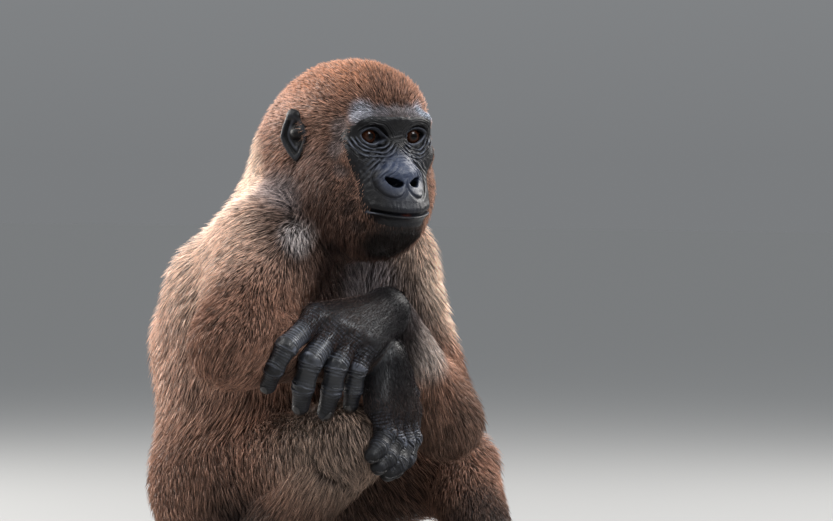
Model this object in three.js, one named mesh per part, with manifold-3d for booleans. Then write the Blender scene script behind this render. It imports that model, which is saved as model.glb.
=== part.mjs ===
// Life-size still model of a young western lowland gorilla, sitting with crossed forearms.
// Millimetres. +Z is up, the animal faces -Y and its left side is +X.
// The origin is on the floor, in the middle of the flat that the rump rests on.
// Every solid is the outer form of the animal, coat included.
import * as THREE from "three";
import { mergeVertices } from "three/addons/utils/BufferGeometryUtils.js";
import Module from "manifold-3d";

const wasm = await Module();
wasm.setup();

const V = (x, y, z) => new THREE.Vector3(x, y, z);
const rad = THREE.MathUtils.degToRad;

// ---------------------------------------------------------------- driving dimensions
const CLEARANCE = 1; // left free where two pieces touch
const FINENESS = 0.42; // how far the facets may be thinned out
const EYE_SPAN = 55; // between the centres of the two irises
const EYE_RADIUS = 11.5;
const HEAD_TURN = -20; // degrees about Z, towards the animal's right
const HEAD_NOD = -2; // degrees, muzzle down
const EYES_AT = V(-44, -231, 475); // the point midway between the two corneas

const HIP = { r: V(-58, -12, 92), l: V(60, -12, 92) };
const KNEE = { r: V(-76, -188, 148), l: V(178, -146, 108) };
const ANKLE = { r: V(-92, -96, 40), l: V(92, -250, 40) };
const TOES_POINT = { r: V(0, -1, 0), l: V(-0.1, -1, 0) };
const SHOULDER = { r: V(-92, -98, 348), l: V(82, -122, 342) };
const ELBOW = { r: V(-198, -139, 255), l: V(86, -205, 165) };
const WRIST = { r: V(-54, -223, 243), l: V(-31, -217, 289) };

const THIGH = [76, 48]; // radius at the hip and at the knee
const SHIN = [46, 34];
const UPPER_ARM = { r: [60, 45], l: [52, 38] };
const FOREARM = { r: [40, 24], l: [38, 24] };

// Knuckle, middle joint, end joint and tip of each finger, with the radius at each of them.
const FINGERS = {
  l: {
    index: { at: [V(-129, -198, 285), V(-180, -197, 258), V(-187, -188, 234), V(-180, -174, 215)], radii: [13.5, 12.5, 11.5, 10] },
    middle: { at: [V(-115, -213, 276), V(-152, -209, 241), V(-153, -199, 214), V(-146, -190, 193)], radii: [14, 13.5, 12.5, 10.5] },
    ring: { at: [V(-101, -223, 267), V(-125, -221, 236), V(-124, -214, 210), V(-122, -204, 186)], radii: [13.5, 12.5, 11.5, 10] },
    little: { at: [V(-85, -232, 258), V(-100, -229, 233), V(-98, -222, 211), V(-94, -215, 192)], radii: [12, 11.5, 10.5, 9] },
    thumb: { at: [V(-32, -200, 291), V(-47, -193, 278), V(-52, -178, 264), V(-62, -173, 248)], radii: [14, 12, 10.5, 9] },
  },
  r: {
    index: { at: [V(-23, -231, 188), V(-16, -234, 155), V(-29, -238, 135), V(-45, -236, 123)], radii: [13.5, 12.5, 11.5, 10] },
    middle: { at: [V(-40, -234, 186), V(-35, -238, 152), V(-50, -242, 131), V(-64, -241, 122)], radii: [14, 13.5, 12.5, 10.5] },
    ring: { at: [V(-57, -235, 188), V(-53, -240, 155), V(-69, -243, 137), V(-82, -243, 129)], radii: [13.5, 12.5, 11.5, 10] },
    little: { at: [V(-74, -238, 193), V(-71, -243, 164), V(-84, -245, 149), V(-96, -245, 141)], radii: [12, 11.5, 10.5, 9] },
    thumb: { at: [V(-25, -224, 222), V(-11, -226, 201), V(-4, -226, 182), V(-3, -227, 167)], radii: [14, 12, 10.5, 9] },
  },
};
// Each toe: how far beside the foot's middle line it starts, its length and its root radius.
const TOES = {
  second: { side: 13, from: 92, length: 54, radius: 12.5 },
  third: { side: -3, from: 94, length: 52, radius: 12 },
  fourth: { side: -18, from: 89, length: 47, radius: 11.5 },
  fifth: { side: -31, from: 80, length: 40, radius: 10.5 },
};

// ---------------------------------------------------------------- forms
// A form is a signed distance: negative inside. Each piece has the width of its soft join.
function cone(a, b, ra, rb, soft = 10) {
  const [ux, uy, uz] = [b.x - a.x, b.y - a.y, b.z - a.z];
  const length2 = ux * ux + uy * uy + uz * uz;
  const distance = (p) => {
    const [x, y, z] = [p.x - a.x, p.y - a.y, p.z - a.z];
    const t = Math.min(1, Math.max(0, (x * ux + y * uy + z * uz) / length2));
    return Math.hypot(x - t * ux, y - t * uy, z - t * uz) - (ra + (rb - ra) * t);
  };
  return { distance, soft };
}

function egg(centre, radii, soft = 10, axes = null) {
  const q = V(0, 0, 0);
  const inverse = axes ? axes.clone().transpose() : null;
  const distance = (p) => {
    q.set(p.x - centre.x, p.y - centre.y, p.z - centre.z);
    if (inverse) q.applyMatrix4(inverse);
    const [x, y, z] = [q.x / radii[0], q.y / radii[1], q.z / radii[2]];
    const near = Math.hypot(x, y, z);
    const slope = Math.hypot(x / radii[0], y / radii[1], z / radii[2]);
    return (near * (near - 1)) / Math.max(slope, 1e-9);
  };
  return { distance, soft };
}

const hollow = (piece) => ({ ...piece, hollow: true });

function join(a, b, soft) {
  const h = Math.min(1, Math.max(0, 0.5 + (0.5 * (b - a)) / soft));
  return b + (a - b) * h - soft * h * (1 - h);
}

function blend(pieces) {
  return (p) => {
    let d = pieces[0].distance(p);
    for (const piece of pieces.slice(1)) {
      const e = piece.distance(p);
      d = piece.hollow ? -join(-d, e, piece.soft) : join(d, e, piece.soft);
    }
    return d;
  };
}

// ---------------------------------------------------------------- the head's own axes
// f is forward, l is to the animal's left, u is up, all from the point between the eyes.
const headAxes = new THREE.Matrix4()
  .makeRotationZ(rad(HEAD_TURN))
  .multiply(new THREE.Matrix4().makeRotationX(rad(-HEAD_NOD)))
  .multiply(new THREE.Matrix4().makeBasis(V(0, -1, 0), V(1, 0, 0), V(0, 0, 1)));
const H = (f, l, u) => V(f, l, u).applyMatrix4(headAxes).add(EYES_AT);
const headDirection = (f, l, u) => V(f, l, u).applyMatrix4(headAxes).normalize();
const headEgg = (f, l, u, radii, soft) => egg(H(f, l, u), radii, soft, headAxes);
const tilt = (degrees) => new THREE.Matrix4().makeRotationX(rad(degrees));

const skull = [
  headEgg(-87, 0, 6, [94, 77, 74], 30),
  headEgg(-52, 0, 22, [60, 63, 50], 20),
  headEgg(-112, 0, -19, [72, 80, 64], 30),
  headEgg(-46, 0, -58, [62, 76, 62], 35),
  headEgg(-40, 0, -92, [48, 54, 40], 25),
  headEgg(-4, 0, -75, [44, 38, 40], 22),
];
const features = [
  cone(H(3, -40, 17), H(8, 0, 21), 9, 9.5, 10),
  cone(H(3, 40, 17), H(8, 0, 21), 9, 9.5, 10),
  hollow(headEgg(5, -EYE_SPAN / 2, -2, [10, 14, 9], 7)),
  hollow(headEgg(5, EYE_SPAN / 2, -2, [10, 14, 9], 7)),
  cone(H(-7, -42, 14), H(-10, -43, -18), 10, 10, 12),
  cone(H(-7, 42, 14), H(-10, 43, -18), 10, 10, 12),
  headEgg(-14, -37, -22, [16, 18, 14], 14),
  headEgg(-14, 37, -22, [16, 18, 14], 14),
  cone(H(-1, 0, 2), H(20, 0, -38), 7, 9, 8),
  headEgg(22, 0, -44, [9, 11, 8], 5),
  headEgg(18, -13, -47, [10, 9, 8], 5),
  headEgg(18, 13, -47, [10, 9, 8], 5),
  headEgg(8, 0, -97, [24, 28, 16], 12),
];
const headForm = blend(skull);
const faceForm = blend([...skull, ...features]);
const neckForm = blend([cone(V(0, -62, 362), V(-12, -104, 424), 84, 72)]);
const trunkForm = blend([
  egg(V(0, 2, 100), [116, 102, 107]),
  egg(V(0, -22, 165), [114, 108, 95], 40),
  egg(V(0, -6, 240), [122, 114, 100], 40, tilt(20)),
  egg(V(0, -52, 308), [126, 92, 72], 40, tilt(25)),
  egg(V(-78, -22, 300), [62, 62, 72], 30),
  egg(V(74, -28, 300), [60, 60, 72], 30),
]);

// ---------------------------------------------------------------- limbs
const limbForms = {};
for (const s of ["r", "l"]) {
  const away = TOES_POINT[s].clone().normalize();
  const beside = V(away.y, -away.x, 0).multiplyScalar(s === "r" ? -1 : 1);
  const heel = V(ANKLE[s].x, ANKLE[s].y, 0);
  const F = (along, side, up) =>
    heel.clone().addScaledVector(away, along).addScaledVector(beside, side).setZ(up);
  const toes = {};
  for (const [name, t] of Object.entries(TOES)) {
    toes[name] = [
      F(t.from, t.side, 14),
      F(t.from + t.length * 0.55, t.side * 1.15, 15),
      F(t.from + t.length, t.side * 1.18, 10.5),
    ];
    toes[name].radii = [t.radius, t.radius - 2, t.radius - 4];
  }
  toes.great = [F(40, 20, 17), F(68, 43, 15), F(98, 50, 12)];
  toes.great.radii = [16, 13, 10.5];
  limbForms[s] = {
    thigh: blend([cone(HIP[s], KNEE[s], ...THIGH)]),
    shin: blend([cone(KNEE[s], ANKLE[s], ...SHIN)]),
    foot: blend([
      cone(F(-26, 0, 22.5), F(-4, 0, 27), 24, 24),
      cone(ANKLE[s], F(40, 0, 25), 28, 20, 14),
      cone(F(0, -3, 22.5), F(82, -16, 14), 24, 15, 14),
      cone(F(0, 6, 22.5), F(82, 12, 14.5), 24, 16, 14),
    ]),
    upperArm: blend([
      egg(SHOULDER[s], [56, 56, 60]),
      cone(SHOULDER[s], ELBOW[s], ...UPPER_ARM[s], 22),
    ]),
    forearm: blend([cone(ELBOW[s], WRIST[s], ...FOREARM[s])]),
    palm: blend(palmPieces(s)),
    toes,
    footLine: [F(-20, 0, 24), F(20, 0, 24), F(80, 0, 15)],
  };
}

function palmPieces(s) {
  const pieces = [];
  for (const [name, finger] of Object.entries(FINGERS[s])) {
    const reach = name === "thumb" ? 0.3 : 0.12;
    const root = WRIST[s].clone().lerp(finger.at[0], reach);
    const end = WRIST[s].clone().lerp(finger.at[0], 0.88);
    const width = name === "thumb" ? [15, 13] : [18, 14.5];
    pieces.push(cone(root, end, ...width, 14));
  }
  return pieces;
}

function nearJoint(p, centre, soft, reach) {
  const d2 = (p.x - centre.x) ** 2 + (p.y - centre.y) ** 2 + (p.z - centre.z) ** 2;
  return 3 + soft * Math.exp(-d2 / (reach * reach));
}

// The whole animal without hands and feet, its limbs flowing softly into the trunk.
function bodyForm(p) {
  let d = join(join(trunkForm(p), neckForm(p), 35), headForm(p), 40);
  for (const s of ["r", "l"]) {
    const limb = limbForms[s];
    const arm = join(limb.upperArm(p), limb.forearm(p), 16);
    const leg = join(limb.thigh(p), limb.shin(p), 18);
    d = join(d, arm, nearJoint(p, SHOULDER[s], 44, 120));
    d = join(d, leg, nearJoint(p, HIP[s], 40, 140));
  }
  return d;
}

// A piece of the body: the body's own surface, no further than `web` outside the piece.
const partOf = (form, web) => (p) => Math.max(bodyForm(p), form(p) - web);
const joined = (form, next, soft, web) => (p) =>
  Math.max(join(form(p), next(p), soft), form(p) - web);

// ---------------------------------------------------------------- skins
function reach(level, origin, direction, grow) {
  const p = V(0, 0, 0);
  const at = (t) => level(p.copy(direction).multiplyScalar(t).add(origin)) - grow;
  let inner = 0;
  let outer = 0;
  let d = at(0);
  while (d < 0 && outer < 320) {
    inner = outer;
    outer += Math.min(8, Math.max(0.4, -0.7 * d));
    d = at(outer);
  }
  for (let i = 0; i < 12; i++) {
    const middle = (inner + outer) / 2;
    if (at(middle) < 0) inner = middle;
    else outer = middle;
  }
  return p.copy(direction).multiplyScalar(Math.max(outer, 0.2)).add(origin).clone();
}

// A closed skin: rays leave the spine all round and over both ends, and stop at the level.
function skin(level, spine, { around, along, ends }, grow) {
  const curve =
    spine.length > 2
      ? new THREE.CatmullRomCurve3(spine, false, "centripetal")
      : new THREE.LineCurve3(spine[0], spine[1]);
  const steps = along - 1;
  const frame = curve.computeFrenetFrames(steps, false);
  const rings = [];
  for (let i = 1; i < ends[0]; i++) rings.push([0, -90 + (90 * i) / ends[0]]);
  for (let i = 0; i <= steps; i++) rings.push([i, 0]);
  for (let i = 1; i < ends[1]; i++) rings.push([steps, (90 * i) / ends[1]]);
  const ray = (station, turn, lean) =>
    V(0, 0, 0)
      .addScaledVector(frame.normals[station], Math.cos(turn) * Math.cos(lean))
      .addScaledVector(frame.binormals[station], Math.sin(turn) * Math.cos(lean))
      .addScaledVector(frame.tangents[station], Math.sin(lean));
  const points = [];
  for (const [station, lean] of rings) {
    const origin = curve.getPointAt(station / steps);
    for (let j = 0; j < around; j++) {
      const direction = ray(station, (2 * Math.PI * j) / around, rad(lean));
      points.push(reach(level, origin, direction, grow));
    }
  }
  const last = points.length;
  points.push(reach(level, curve.getPointAt(0), ray(0, 0, -Math.PI / 2), grow));
  points.push(reach(level, curve.getPointAt(1), ray(steps, 0, Math.PI / 2), grow));
  const faces = [];
  for (let j = 0; j < around; j++) {
    const k = (j + 1) % around;
    faces.push(last, k, j);
    for (let i = 0; i + 1 < rings.length; i++) {
      const [a, b] = [i * around, (i + 1) * around];
      faces.push(a + j, a + k, b + k, a + j, b + k, b + j);
    }
    const top = (rings.length - 1) * around;
    faces.push(last + 1, top + j, top + k);
  }
  return new THREE.BufferGeometry().setFromPoints(points).setIndex(faces);
}

function toSolid(geometry) {
  geometry.deleteAttribute("normal");
  geometry.deleteAttribute("uv");
  const merged = mergeVertices(geometry, 1e-4);
  const vertProperties = Float32Array.from(merged.attributes.position.array);
  const triVerts = Uint32Array.from(merged.index.array);
  return new wasm.Manifold(new wasm.Mesh({ numProp: 3, vertProperties, triVerts }));
}

// The plane half-way round a bent joint, facing on from the second point to the third.
function bendPlane(from, joint, to) {
  const into = joint.clone().sub(from).normalize();
  const onward = to.clone().sub(joint).normalize();
  return into.add(onward).normalize();
}
const facing = (normal, point) => [normal, point.clone().addScaledVector(normal, CLEARANCE / 2)];
const behind = (normal, point) => facing(normal.clone().negate(), point);

const above = (normal, point, grow = 0) => [normal.toArray(), normal.dot(point) - grow];

// ---------------------------------------------------------------- pieces
// solid(grow) gives the piece, or the slightly larger form that its neighbours are cut by.
const pieces = [];
function addPiece(name, look, origin, solid) {
  pieces.push({ name, look, origin, solid });
}
function addSkin(name, look, level, spine, mesh, cuts = []) {
  addPiece(name, look, spine[0], (grow) => {
    let made = toSolid(skin(level, spine, mesh, grow));
    for (const [normal, point] of cuts) made = made.trimByPlane(...above(normal, point, grow));
    return made;
  });
}

const LOOKS = {
  coat: { color: 0x5a4234, roughness: 0.95 },
  crown: { color: 0x7a4426, roughness: 0.95 },
  darkCoat: { color: 0x2c2523, roughness: 0.95 },
  bareSkin: { color: 0x1d1c20, roughness: 0.55 },
  eye: { color: 0x2a150c, roughness: 0.08 },
};

for (const [s, side] of [["r", -1], ["l", 1]]) {
  const centre = H(-EYE_RADIUS + 1, (side * EYE_SPAN) / 2, 0);
  addPiece(`eye_${s}`, "eye", centre, (grow) => {
    const ball = new THREE.SphereGeometry(EYE_RADIUS + grow * 0.8, 12, 8);
    return toSolid(ball.translate(...centre.toArray()));
  });
}
for (const [s, side] of [["r", -1], ["l", 1]]) {
  const out = headDirection(0.57, side * 0.82, 0);
  const back = headDirection(-0.82, side * 0.57, 0).addScaledVector(headDirection(0, 0, 1), -0.12);
  const axes = new THREE.Matrix4().makeBasis(back.normalize(), out, V(0, 0, 1));
  const centre = H(-67, side * 79.5, -2);
  const shell = blend([
    egg(centre, [15, 6.5, 25.5], 5, axes),
    hollow(egg(centre.clone().addScaledVector(out, 7), [9, 6, 17], 3, axes)),
  ]);
  const core = centre.clone().addScaledVector(out, -3);
  const line = [core.clone().addScaledVector(V(0, 0, 1), -6), core.clone().setZ(core.z + 6)];
  addSkin(`ear_${s}`, "bareSkin", shell, line, { around: 12, along: 2, ends: [4, 4] });
}

// The mask and the lower jaw stand in front of one slanting plane and meet at the mouth.
const maskNormal = headDirection(0.972, 0, -0.232);
const maskPoint = H(-4, 0, 34);
const mouthPoint = H(0, 0, -85.5);
const up = headDirection(0, 0, 1);
const down = up.clone().negate();
const faceLine = [H(-34, 0, -40), H(-28, 0, -40)];
const faceMesh = { around: 26, along: 2, ends: [2, 10] };
addSkin("face", "bareSkin", faceForm, faceLine, faceMesh, [
  [maskNormal, maskPoint],
  [up, mouthPoint],
]);
addSkin("jaw", "bareSkin", faceForm, faceLine, faceMesh, [
  [maskNormal, maskPoint],
  [down, mouthPoint],
]);
const headLine = [H(-76, 0, -50), H(-84, 0, 15)];
const nape = maskNormal.clone().negate();
addSkin("head", "crown", partOf(headForm, 16), headLine, { around: 16, along: 4, ends: [3, 4] }, [
  [nape, maskPoint.clone().addScaledVector(nape, 1.5 * CLEARANCE)],
]);

const DIGIT = { around: 7, along: 5, ends: [2, 2] };
for (const s of ["l", "r"]) {
  for (const [name, { at, radii }] of Object.entries(FINGERS[s])) {
    const form = [0, 1, 2].map((i) => cone(at[i], at[i + 1], radii[i], radii[i + 1], 5));
    addSkin(`${name}_${s}`, "bareSkin", blend(form), at, DIGIT);
  }
}
const wristPlane = {};
for (const s of ["l", "r"]) {
  const { palm, forearm } = limbForms[s];
  const knuckles = FINGERS[s].middle.at[0].clone().lerp(FINGERS[s].ring.at[0], 0.5);
  wristPlane[s] = bendPlane(ELBOW[s], WRIST[s], knuckles);
  const line = [WRIST[s].clone().lerp(knuckles, 0.08), WRIST[s].clone().lerp(knuckles, 0.82)];
  const mesh = { around: 12, along: 4, ends: [2, 2] };
  addSkin(`hand_${s}`, "bareSkin", joined(palm, forearm, 12, 5), line, mesh, [
    facing(wristPlane[s], WRIST[s]),
  ]);
}
for (const s of ["r", "l"]) {
  for (const [name, line] of Object.entries(limbForms[s].toes)) {
    const form = [0, 1].map((i) => cone(line[i], line[i + 1], line.radii[i], line.radii[i + 1], 5));
    const mesh = { around: 6, along: 3, ends: [2, 2] };
    addSkin(`${name}_toe_${s}`, "bareSkin", blend(form), [...line], mesh);
  }
}
const LIMB = { around: 12, along: 5, ends: [2, 3] };
for (const s of ["r", "l"]) {
  const limb = limbForms[s];
  const instep = ANKLE[s].clone().setZ(ANKLE[s].z + 8);
  const anklePlane = TOES_POINT[s].clone().multiplyScalar(0.3).setZ(-0.95).normalize();
  const kneePlane = bendPlane(HIP[s], KNEE[s], ANKLE[s]);
  const elbowPlane = bendPlane(SHOULDER[s], ELBOW[s], WRIST[s]);
  const footForm = joined(limb.foot, limb.shin, 14, 8);
  const footMesh = { around: 12, along: 5, ends: [2, 2] };
  addSkin(`foot_${s}`, "bareSkin", footForm, limb.footLine, footMesh, [
    facing(anklePlane, instep),
  ]);
  addSkin(`shin_${s}`, "coat", partOf(limb.shin, 6), [KNEE[s], ANKLE[s]], LIMB, [
    facing(kneePlane, KNEE[s]),
    behind(anklePlane, instep),
  ]);
  addSkin(`forearm_${s}`, "coat", partOf(limb.forearm, 6), [ELBOW[s], WRIST[s]], LIMB, [
    facing(elbowPlane, ELBOW[s]),
    behind(wristPlane[s], WRIST[s]),
  ]);
  addSkin(`upper_arm_${s}`, "coat", partOf(limb.upperArm, 4), [SHOULDER[s], ELBOW[s]], LIMB, [
    behind(elbowPlane, ELBOW[s]),
  ]);
  addSkin(`thigh_${s}`, "darkCoat", partOf(limb.thigh, 4), [HIP[s], KNEE[s]], LIMB, [
    behind(kneePlane, KNEE[s]),
  ]);
}
const throatPlane = V(-0.1, -0.35, 0.93).normalize();
const throat = V(0, -62, 366);
const neckLine = [V(-2, -70, 372), V(-10, -98, 415)];
addSkin("neck", "coat", partOf(neckForm, 16), neckLine, { around: 16, along: 3, ends: [2, 2] }, [
  facing(throatPlane, throat),
]);
const trunkLine = [V(0, 2, 80), V(0, -12, 150), V(0, -16, 230), V(0, -50, 310)];
addSkin("trunk", "coat", partOf(trunkForm, 16), trunkLine, { around: 18, along: 6, ends: [3, 3] }, [
  behind(throatPlane, throat),
]);

// ---------------------------------------------------------------- fitting and assembly
const gorilla = new THREE.Group();
gorilla.name = "gorilla";
const fitted = [];
for (const { name, look, origin, solid } of pieces) {
  let made = solid(0).simplify(FINENESS).trimByPlane([0, 0, 1], 0);
  for (const cutter of fitted) made = made.subtract(cutter);
  const bodies = made.decompose().sort((a, b) => b.volume() - a.volume());
  made = bodies[0].simplify(FINENESS);
  fitted.push(solid(CLEARANCE).simplify(FINENESS));
  const { vertProperties, triVerts } = made.getMesh();
  const geometry = new THREE.BufferGeometry();
  geometry.setAttribute("position", new THREE.BufferAttribute(vertProperties, 3));
  geometry.setIndex(new THREE.BufferAttribute(triVerts, 1));
  geometry.translate(-origin.x, -origin.y, -origin.z);
  const mesh = new THREE.Mesh(geometry, new THREE.MeshStandardMaterial(LOOKS[look]));
  mesh.name = name;
  mesh.position.copy(origin);
  gorilla.add(mesh);
}

export default gorilla;
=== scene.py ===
"""A young western lowland gorilla, sitting with crossed forearms, as a life-size still model.

Forms are worked out in millimetres and made in metres. +Z is up, the animal faces -Y and its
left side is +X. Head places are (forward, left, up) from the point between the eyes.
"""

import math

import bpy
import numpy as np
import openvdb
from mathutils import Matrix, Vector


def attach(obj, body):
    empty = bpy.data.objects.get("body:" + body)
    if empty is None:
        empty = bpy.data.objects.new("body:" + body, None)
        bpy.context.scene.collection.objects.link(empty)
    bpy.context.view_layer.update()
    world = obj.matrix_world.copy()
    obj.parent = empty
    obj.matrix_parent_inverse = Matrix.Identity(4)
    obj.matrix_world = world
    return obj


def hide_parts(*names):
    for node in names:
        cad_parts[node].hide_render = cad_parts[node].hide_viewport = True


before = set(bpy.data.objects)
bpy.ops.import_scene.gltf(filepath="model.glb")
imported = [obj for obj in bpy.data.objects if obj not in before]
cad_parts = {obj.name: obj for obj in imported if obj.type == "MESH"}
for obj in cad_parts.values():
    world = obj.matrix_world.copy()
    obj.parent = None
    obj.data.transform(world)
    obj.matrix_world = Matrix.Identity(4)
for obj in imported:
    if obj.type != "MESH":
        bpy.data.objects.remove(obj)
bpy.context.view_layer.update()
MM = 0.001
ROUND = 2 * math.pi

# ---------------- driving dimensions
EYES_AT = (-44, -231, 475)
HEAD_TURN = -20
HEAD_NOD = -2
EYE_OUT = 27.5  # from the head's middle plane to the centre of an eye
EYE_IN = 10.5  # from the cornea to the centre of an eye
EYE_RADIUS = 11.5
EYE_CLEARANCE = 0.1  # between an eyeball and its socket, on each side of the radius
CORNEA_RISE = 0.9  # how far the cornea stands out
GAZE_INWARD = 4  # degrees that each eye turns towards the nose

HIP = {"r": (-58, -12, 92), "l": (60, -12, 92)}
KNEE = {"r": (-76, -188, 148), "l": (178, -146, 108)}
ANKLE = {"r": (-92, -96, 40), "l": (92, -250, 40)}
TOES_POINT = {"r": (0, -1, 0), "l": (-0.1, -1, 0)}
SHOULDER = {"r": (-92, -98, 348), "l": (82, -122, 342)}
ELBOW = {"r": (-198, -139, 255), "l": (86, -205, 165)}
WRIST = {"r": (-54, -223, 243), "l": (-31, -217, 289)}
WHORL = {"r": (-102, -152, 366), "l": (90, -168, 372)}

# How deep the coat is: the skin lies this far inside the animal's outline.
COAT = {"trunk": 12, "neck": 11, "head": 7, "shoulder": 11, "arm": 10, "leg": 11, "cuff": 3.5}

# Each limb's two ends, its radii there, and how deep its coat is there.
LIMBS = {
    "upper_arm": (SHOULDER, ELBOW, {"r": (60, 45), "l": (52, 38)}, "shoulder", "arm"),
    "forearm": (ELBOW, WRIST, {"r": (40, 24), "l": (38, 24)}, "arm", "cuff"),
    "thigh": (HIP, KNEE, {"r": (76, 48), "l": (76, 48)}, "leg", "leg"),
    "shin": (KNEE, ANKLE, {"r": (46, 34), "l": (46, 34)}, "leg", "cuff"),
}

# Knuckle, middle joint, end joint and tip of each finger.
FINGERS = {
    "l": {
        "index": [(-129, -198, 285), (-178.5, -197.5, 256), (-187, -188, 234), (-180, -174, 215)],
        "middle": [(-115, -213, 276), (-152, -209, 241), (-153, -199, 214), (-146, -190, 193)],
        "ring": [(-101, -223, 267), (-125, -221, 236), (-124, -214, 210), (-122, -204, 186)],
        "little": [(-85, -232, 258), (-100, -229, 233), (-98, -222, 211), (-94, -215, 192)],
        "thumb": [(-32, -200, 291), (-47, -193, 278), (-52, -178, 264), (-62, -173, 248)],
    },
    "r": {
        "index": [(-23, -231, 188), (-16, -234, 155), (-29, -238, 135), (-45, -236, 123)],
        "middle": [(-40, -234, 186), (-35, -238, 152), (-50, -242, 131), (-64, -241, 122)],
        "ring": [(-57, -235, 188), (-53, -240, 155), (-69, -243, 137), (-82, -243, 129)],
        "little": [(-74, -238, 193), (-71, -243, 164), (-84, -245, 149), (-96, -245, 141)],
        "thumb": [(-25, -224, 222), (-11, -226, 201), (-4, -226, 182), (-3, -227, 167)],
    },
}
FINGER_RADII = {
    "index": (12, 10.8, 9.8, 8.6),
    "middle": (13, 12, 11, 9.4),
    "ring": (12.4, 11.4, 10.4, 9),
    "little": (11, 10, 9.2, 8),
    "thumb": (13, 11.2, 10, 8.6),
}
# How far beside the foot's middle line each toe starts, where, its length and its root radius.
TOES = {
    "second": (13, 92, 54, 12.5),
    "third": (-3, 94, 52, 12),
    "fourth": (-18, 89, 47, 11.5),
    "fifth": (-31, 80, 40, 10.5),
}


# ---------------- forms
# A form gives the distance of each point from a surface, negative inside it.
def V(*place):
    return np.array(place, np.float32)


def size_of(v):
    return np.sqrt(np.einsum("ij,ij->i", v, v))


def unit(v):
    return v / np.maximum(np.linalg.norm(v, axis=-1, keepdims=True), 1e-9)


def most(first, *others):
    """The largest of some distances at each point."""
    for other in others:
        first = np.maximum(first, other)
    return first


def cone(p, a, b, ra, rb):
    a, b = V(*a), V(*b)
    along = b - a
    t = np.clip(((p - a) @ along) / (along @ along), 0, 1)
    return size_of(p - a - t[:, None] * along) - (ra + (rb - ra) * t)


def egg(p, centre, radii, axes=None):
    q = p - V(*centre)
    if axes is not None:
        q = q @ axes
    q = q / V(*radii)
    near = size_of(q)
    return near * (near - 1) / np.maximum(size_of(q / V(*radii)), 1e-9)


def join(a, b, soft):
    h = np.clip(0.5 + 0.5 * (b - a) / soft, 0, 1)
    return b + (a - b) * h - soft * h * (1 - h)


def carve(a, b, soft):
    return -join(-a, b, soft)


def rise(x, low, high):
    """0 below low, 1 above high and smooth between them."""
    t = np.clip((x - low) / (high - low), 0, 1)
    return t * t * (3 - 2 * t)


def bump(x, width):
    return np.exp(-((x / width) ** 2))


def ripples(x, width):
    """Waves from 0 to 1, width mm from one to the next, with a trough at 0."""
    return 0.5 - 0.5 * np.cos(x * ROUND / width)


def drift(p, size, seed):
    """A smooth pattern between -1 and 1 with features about size mm across."""
    dice = np.random.default_rng(seed)
    waves = unit(dice.normal(size=(6, 3))) * (math.pi / size)
    waves *= dice.uniform(0.7, 1.4, (6, 1))
    return np.sin(p @ waves.T.astype(np.float32) + dice.uniform(0, 6.28, 6)).sum(1) / 3.2


def turned(axis, degrees):
    return np.array(Matrix.Rotation(math.radians(degrees), 3, axis), np.float32)


FACING = np.array([[0, 1, 0], [-1, 0, 0], [0, 0, 1]], np.float32)
HEAD_AXES = turned("Z", HEAD_TURN) @ turned("X", -HEAD_NOD) @ FACING


def H(f, l, u):
    return HEAD_AXES @ V(f, l, u) + V(*EYES_AT)


def in_head(p):
    return (p - V(*EYES_AT)) @ HEAD_AXES


def from_head(q):
    return q @ HEAD_AXES.T + V(*EYES_AT)


def mirrored(q):
    """Head places with the animal's right side folded onto its left."""
    return np.stack([q[:, 0], np.abs(q[:, 1]), q[:, 2]], 1)


# ---------------- the body's forms
def mask_edge(q):
    """Distance from the edge of the bare face, seen from its front, negative inside."""
    x = np.abs(q[:, 1])
    brow = np.stack([x - 29, np.abs(q[:, 2] + 10) - 6], 1)
    brow = size_of(np.maximum(brow, 0)) + np.minimum(brow.max(1), 0) - 24
    low = ((x / 41) ** 3 + np.abs((q[:, 2] + 56) / 38) ** 3) ** (1 / 3)
    return join(brow, (low - 1) * 40, 16)


def bareness(q):
    return rise(-mask_edge(q), -5, 3) * rise(q[:, 0], -50, -30)


def skull(p):
    q = in_head(p)
    d = egg(q, (-87, 0, 6), (94, 77, 74))
    d = join(d, egg(q, (-52, 0, 22), (60, 63, 50)), 20)
    d = join(d, egg(q, (-112, 0, -19), (72, 80, 64)), 30)
    d = join(d, egg(q, (-46, 0, -58), (62, 76, 62)), 35)
    d = join(d, egg(q, (-40, 0, -92), (48, 54, 40)), 25)
    return join(d, egg(q, (-4, 0, -75), (44, 38, 40)), 22)


def head_skin(p):
    return skull(p) + COAT["head"] * (1 - bareness(in_head(p)))


def neck_form(p, k=1):
    c = COAT["neck"] * k
    return cone(p, (0, -62, 362), (-12, -104, 424), 84 - c, 72 - c)


def trunk_form(p, k=1):
    c = COAT["trunk"] * k
    d = egg(p, (0, 2, 100), V(116, 102, 107) - c)
    d = join(d, egg(p, (0, -22, 165), V(114, 108, 95) - c), 40)
    d = join(d, egg(p, (0, -6, 240), V(122, 114, 100) - c, turned("X", 20)), 40)
    d = join(d, egg(p, (0, -52, 308), V(126, 92, 72) - c, turned("X", 25)), 40)
    d = join(d, egg(p, (-78, -22, 300), V(62, 62, 72) - c), 30)
    return join(d, egg(p, (74, -28, 300), V(60, 60, 72) - c), 30)


def limb_form(limb, p, s, k=1):
    """A limb, k times as deep under the animal's outline as its skin."""
    start, end, radii, coat, end_coat = LIMBS[limb]
    (ra, rb), ca, cb = radii[s], COAT[coat] * k, COAT[end_coat] * k
    d = cone(p, start[s], end[s], ra - ca, rb - cb)
    if limb == "upper_arm":
        d = join(egg(p, start[s], V(56, 56, 60) - ca), d, 22)
    return d


def near_joint(p, centre, soft, reach):
    d = p - V(*centre)
    return 3 + soft * np.exp(-np.einsum("ij,ij->i", d, d) / reach**2)


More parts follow.
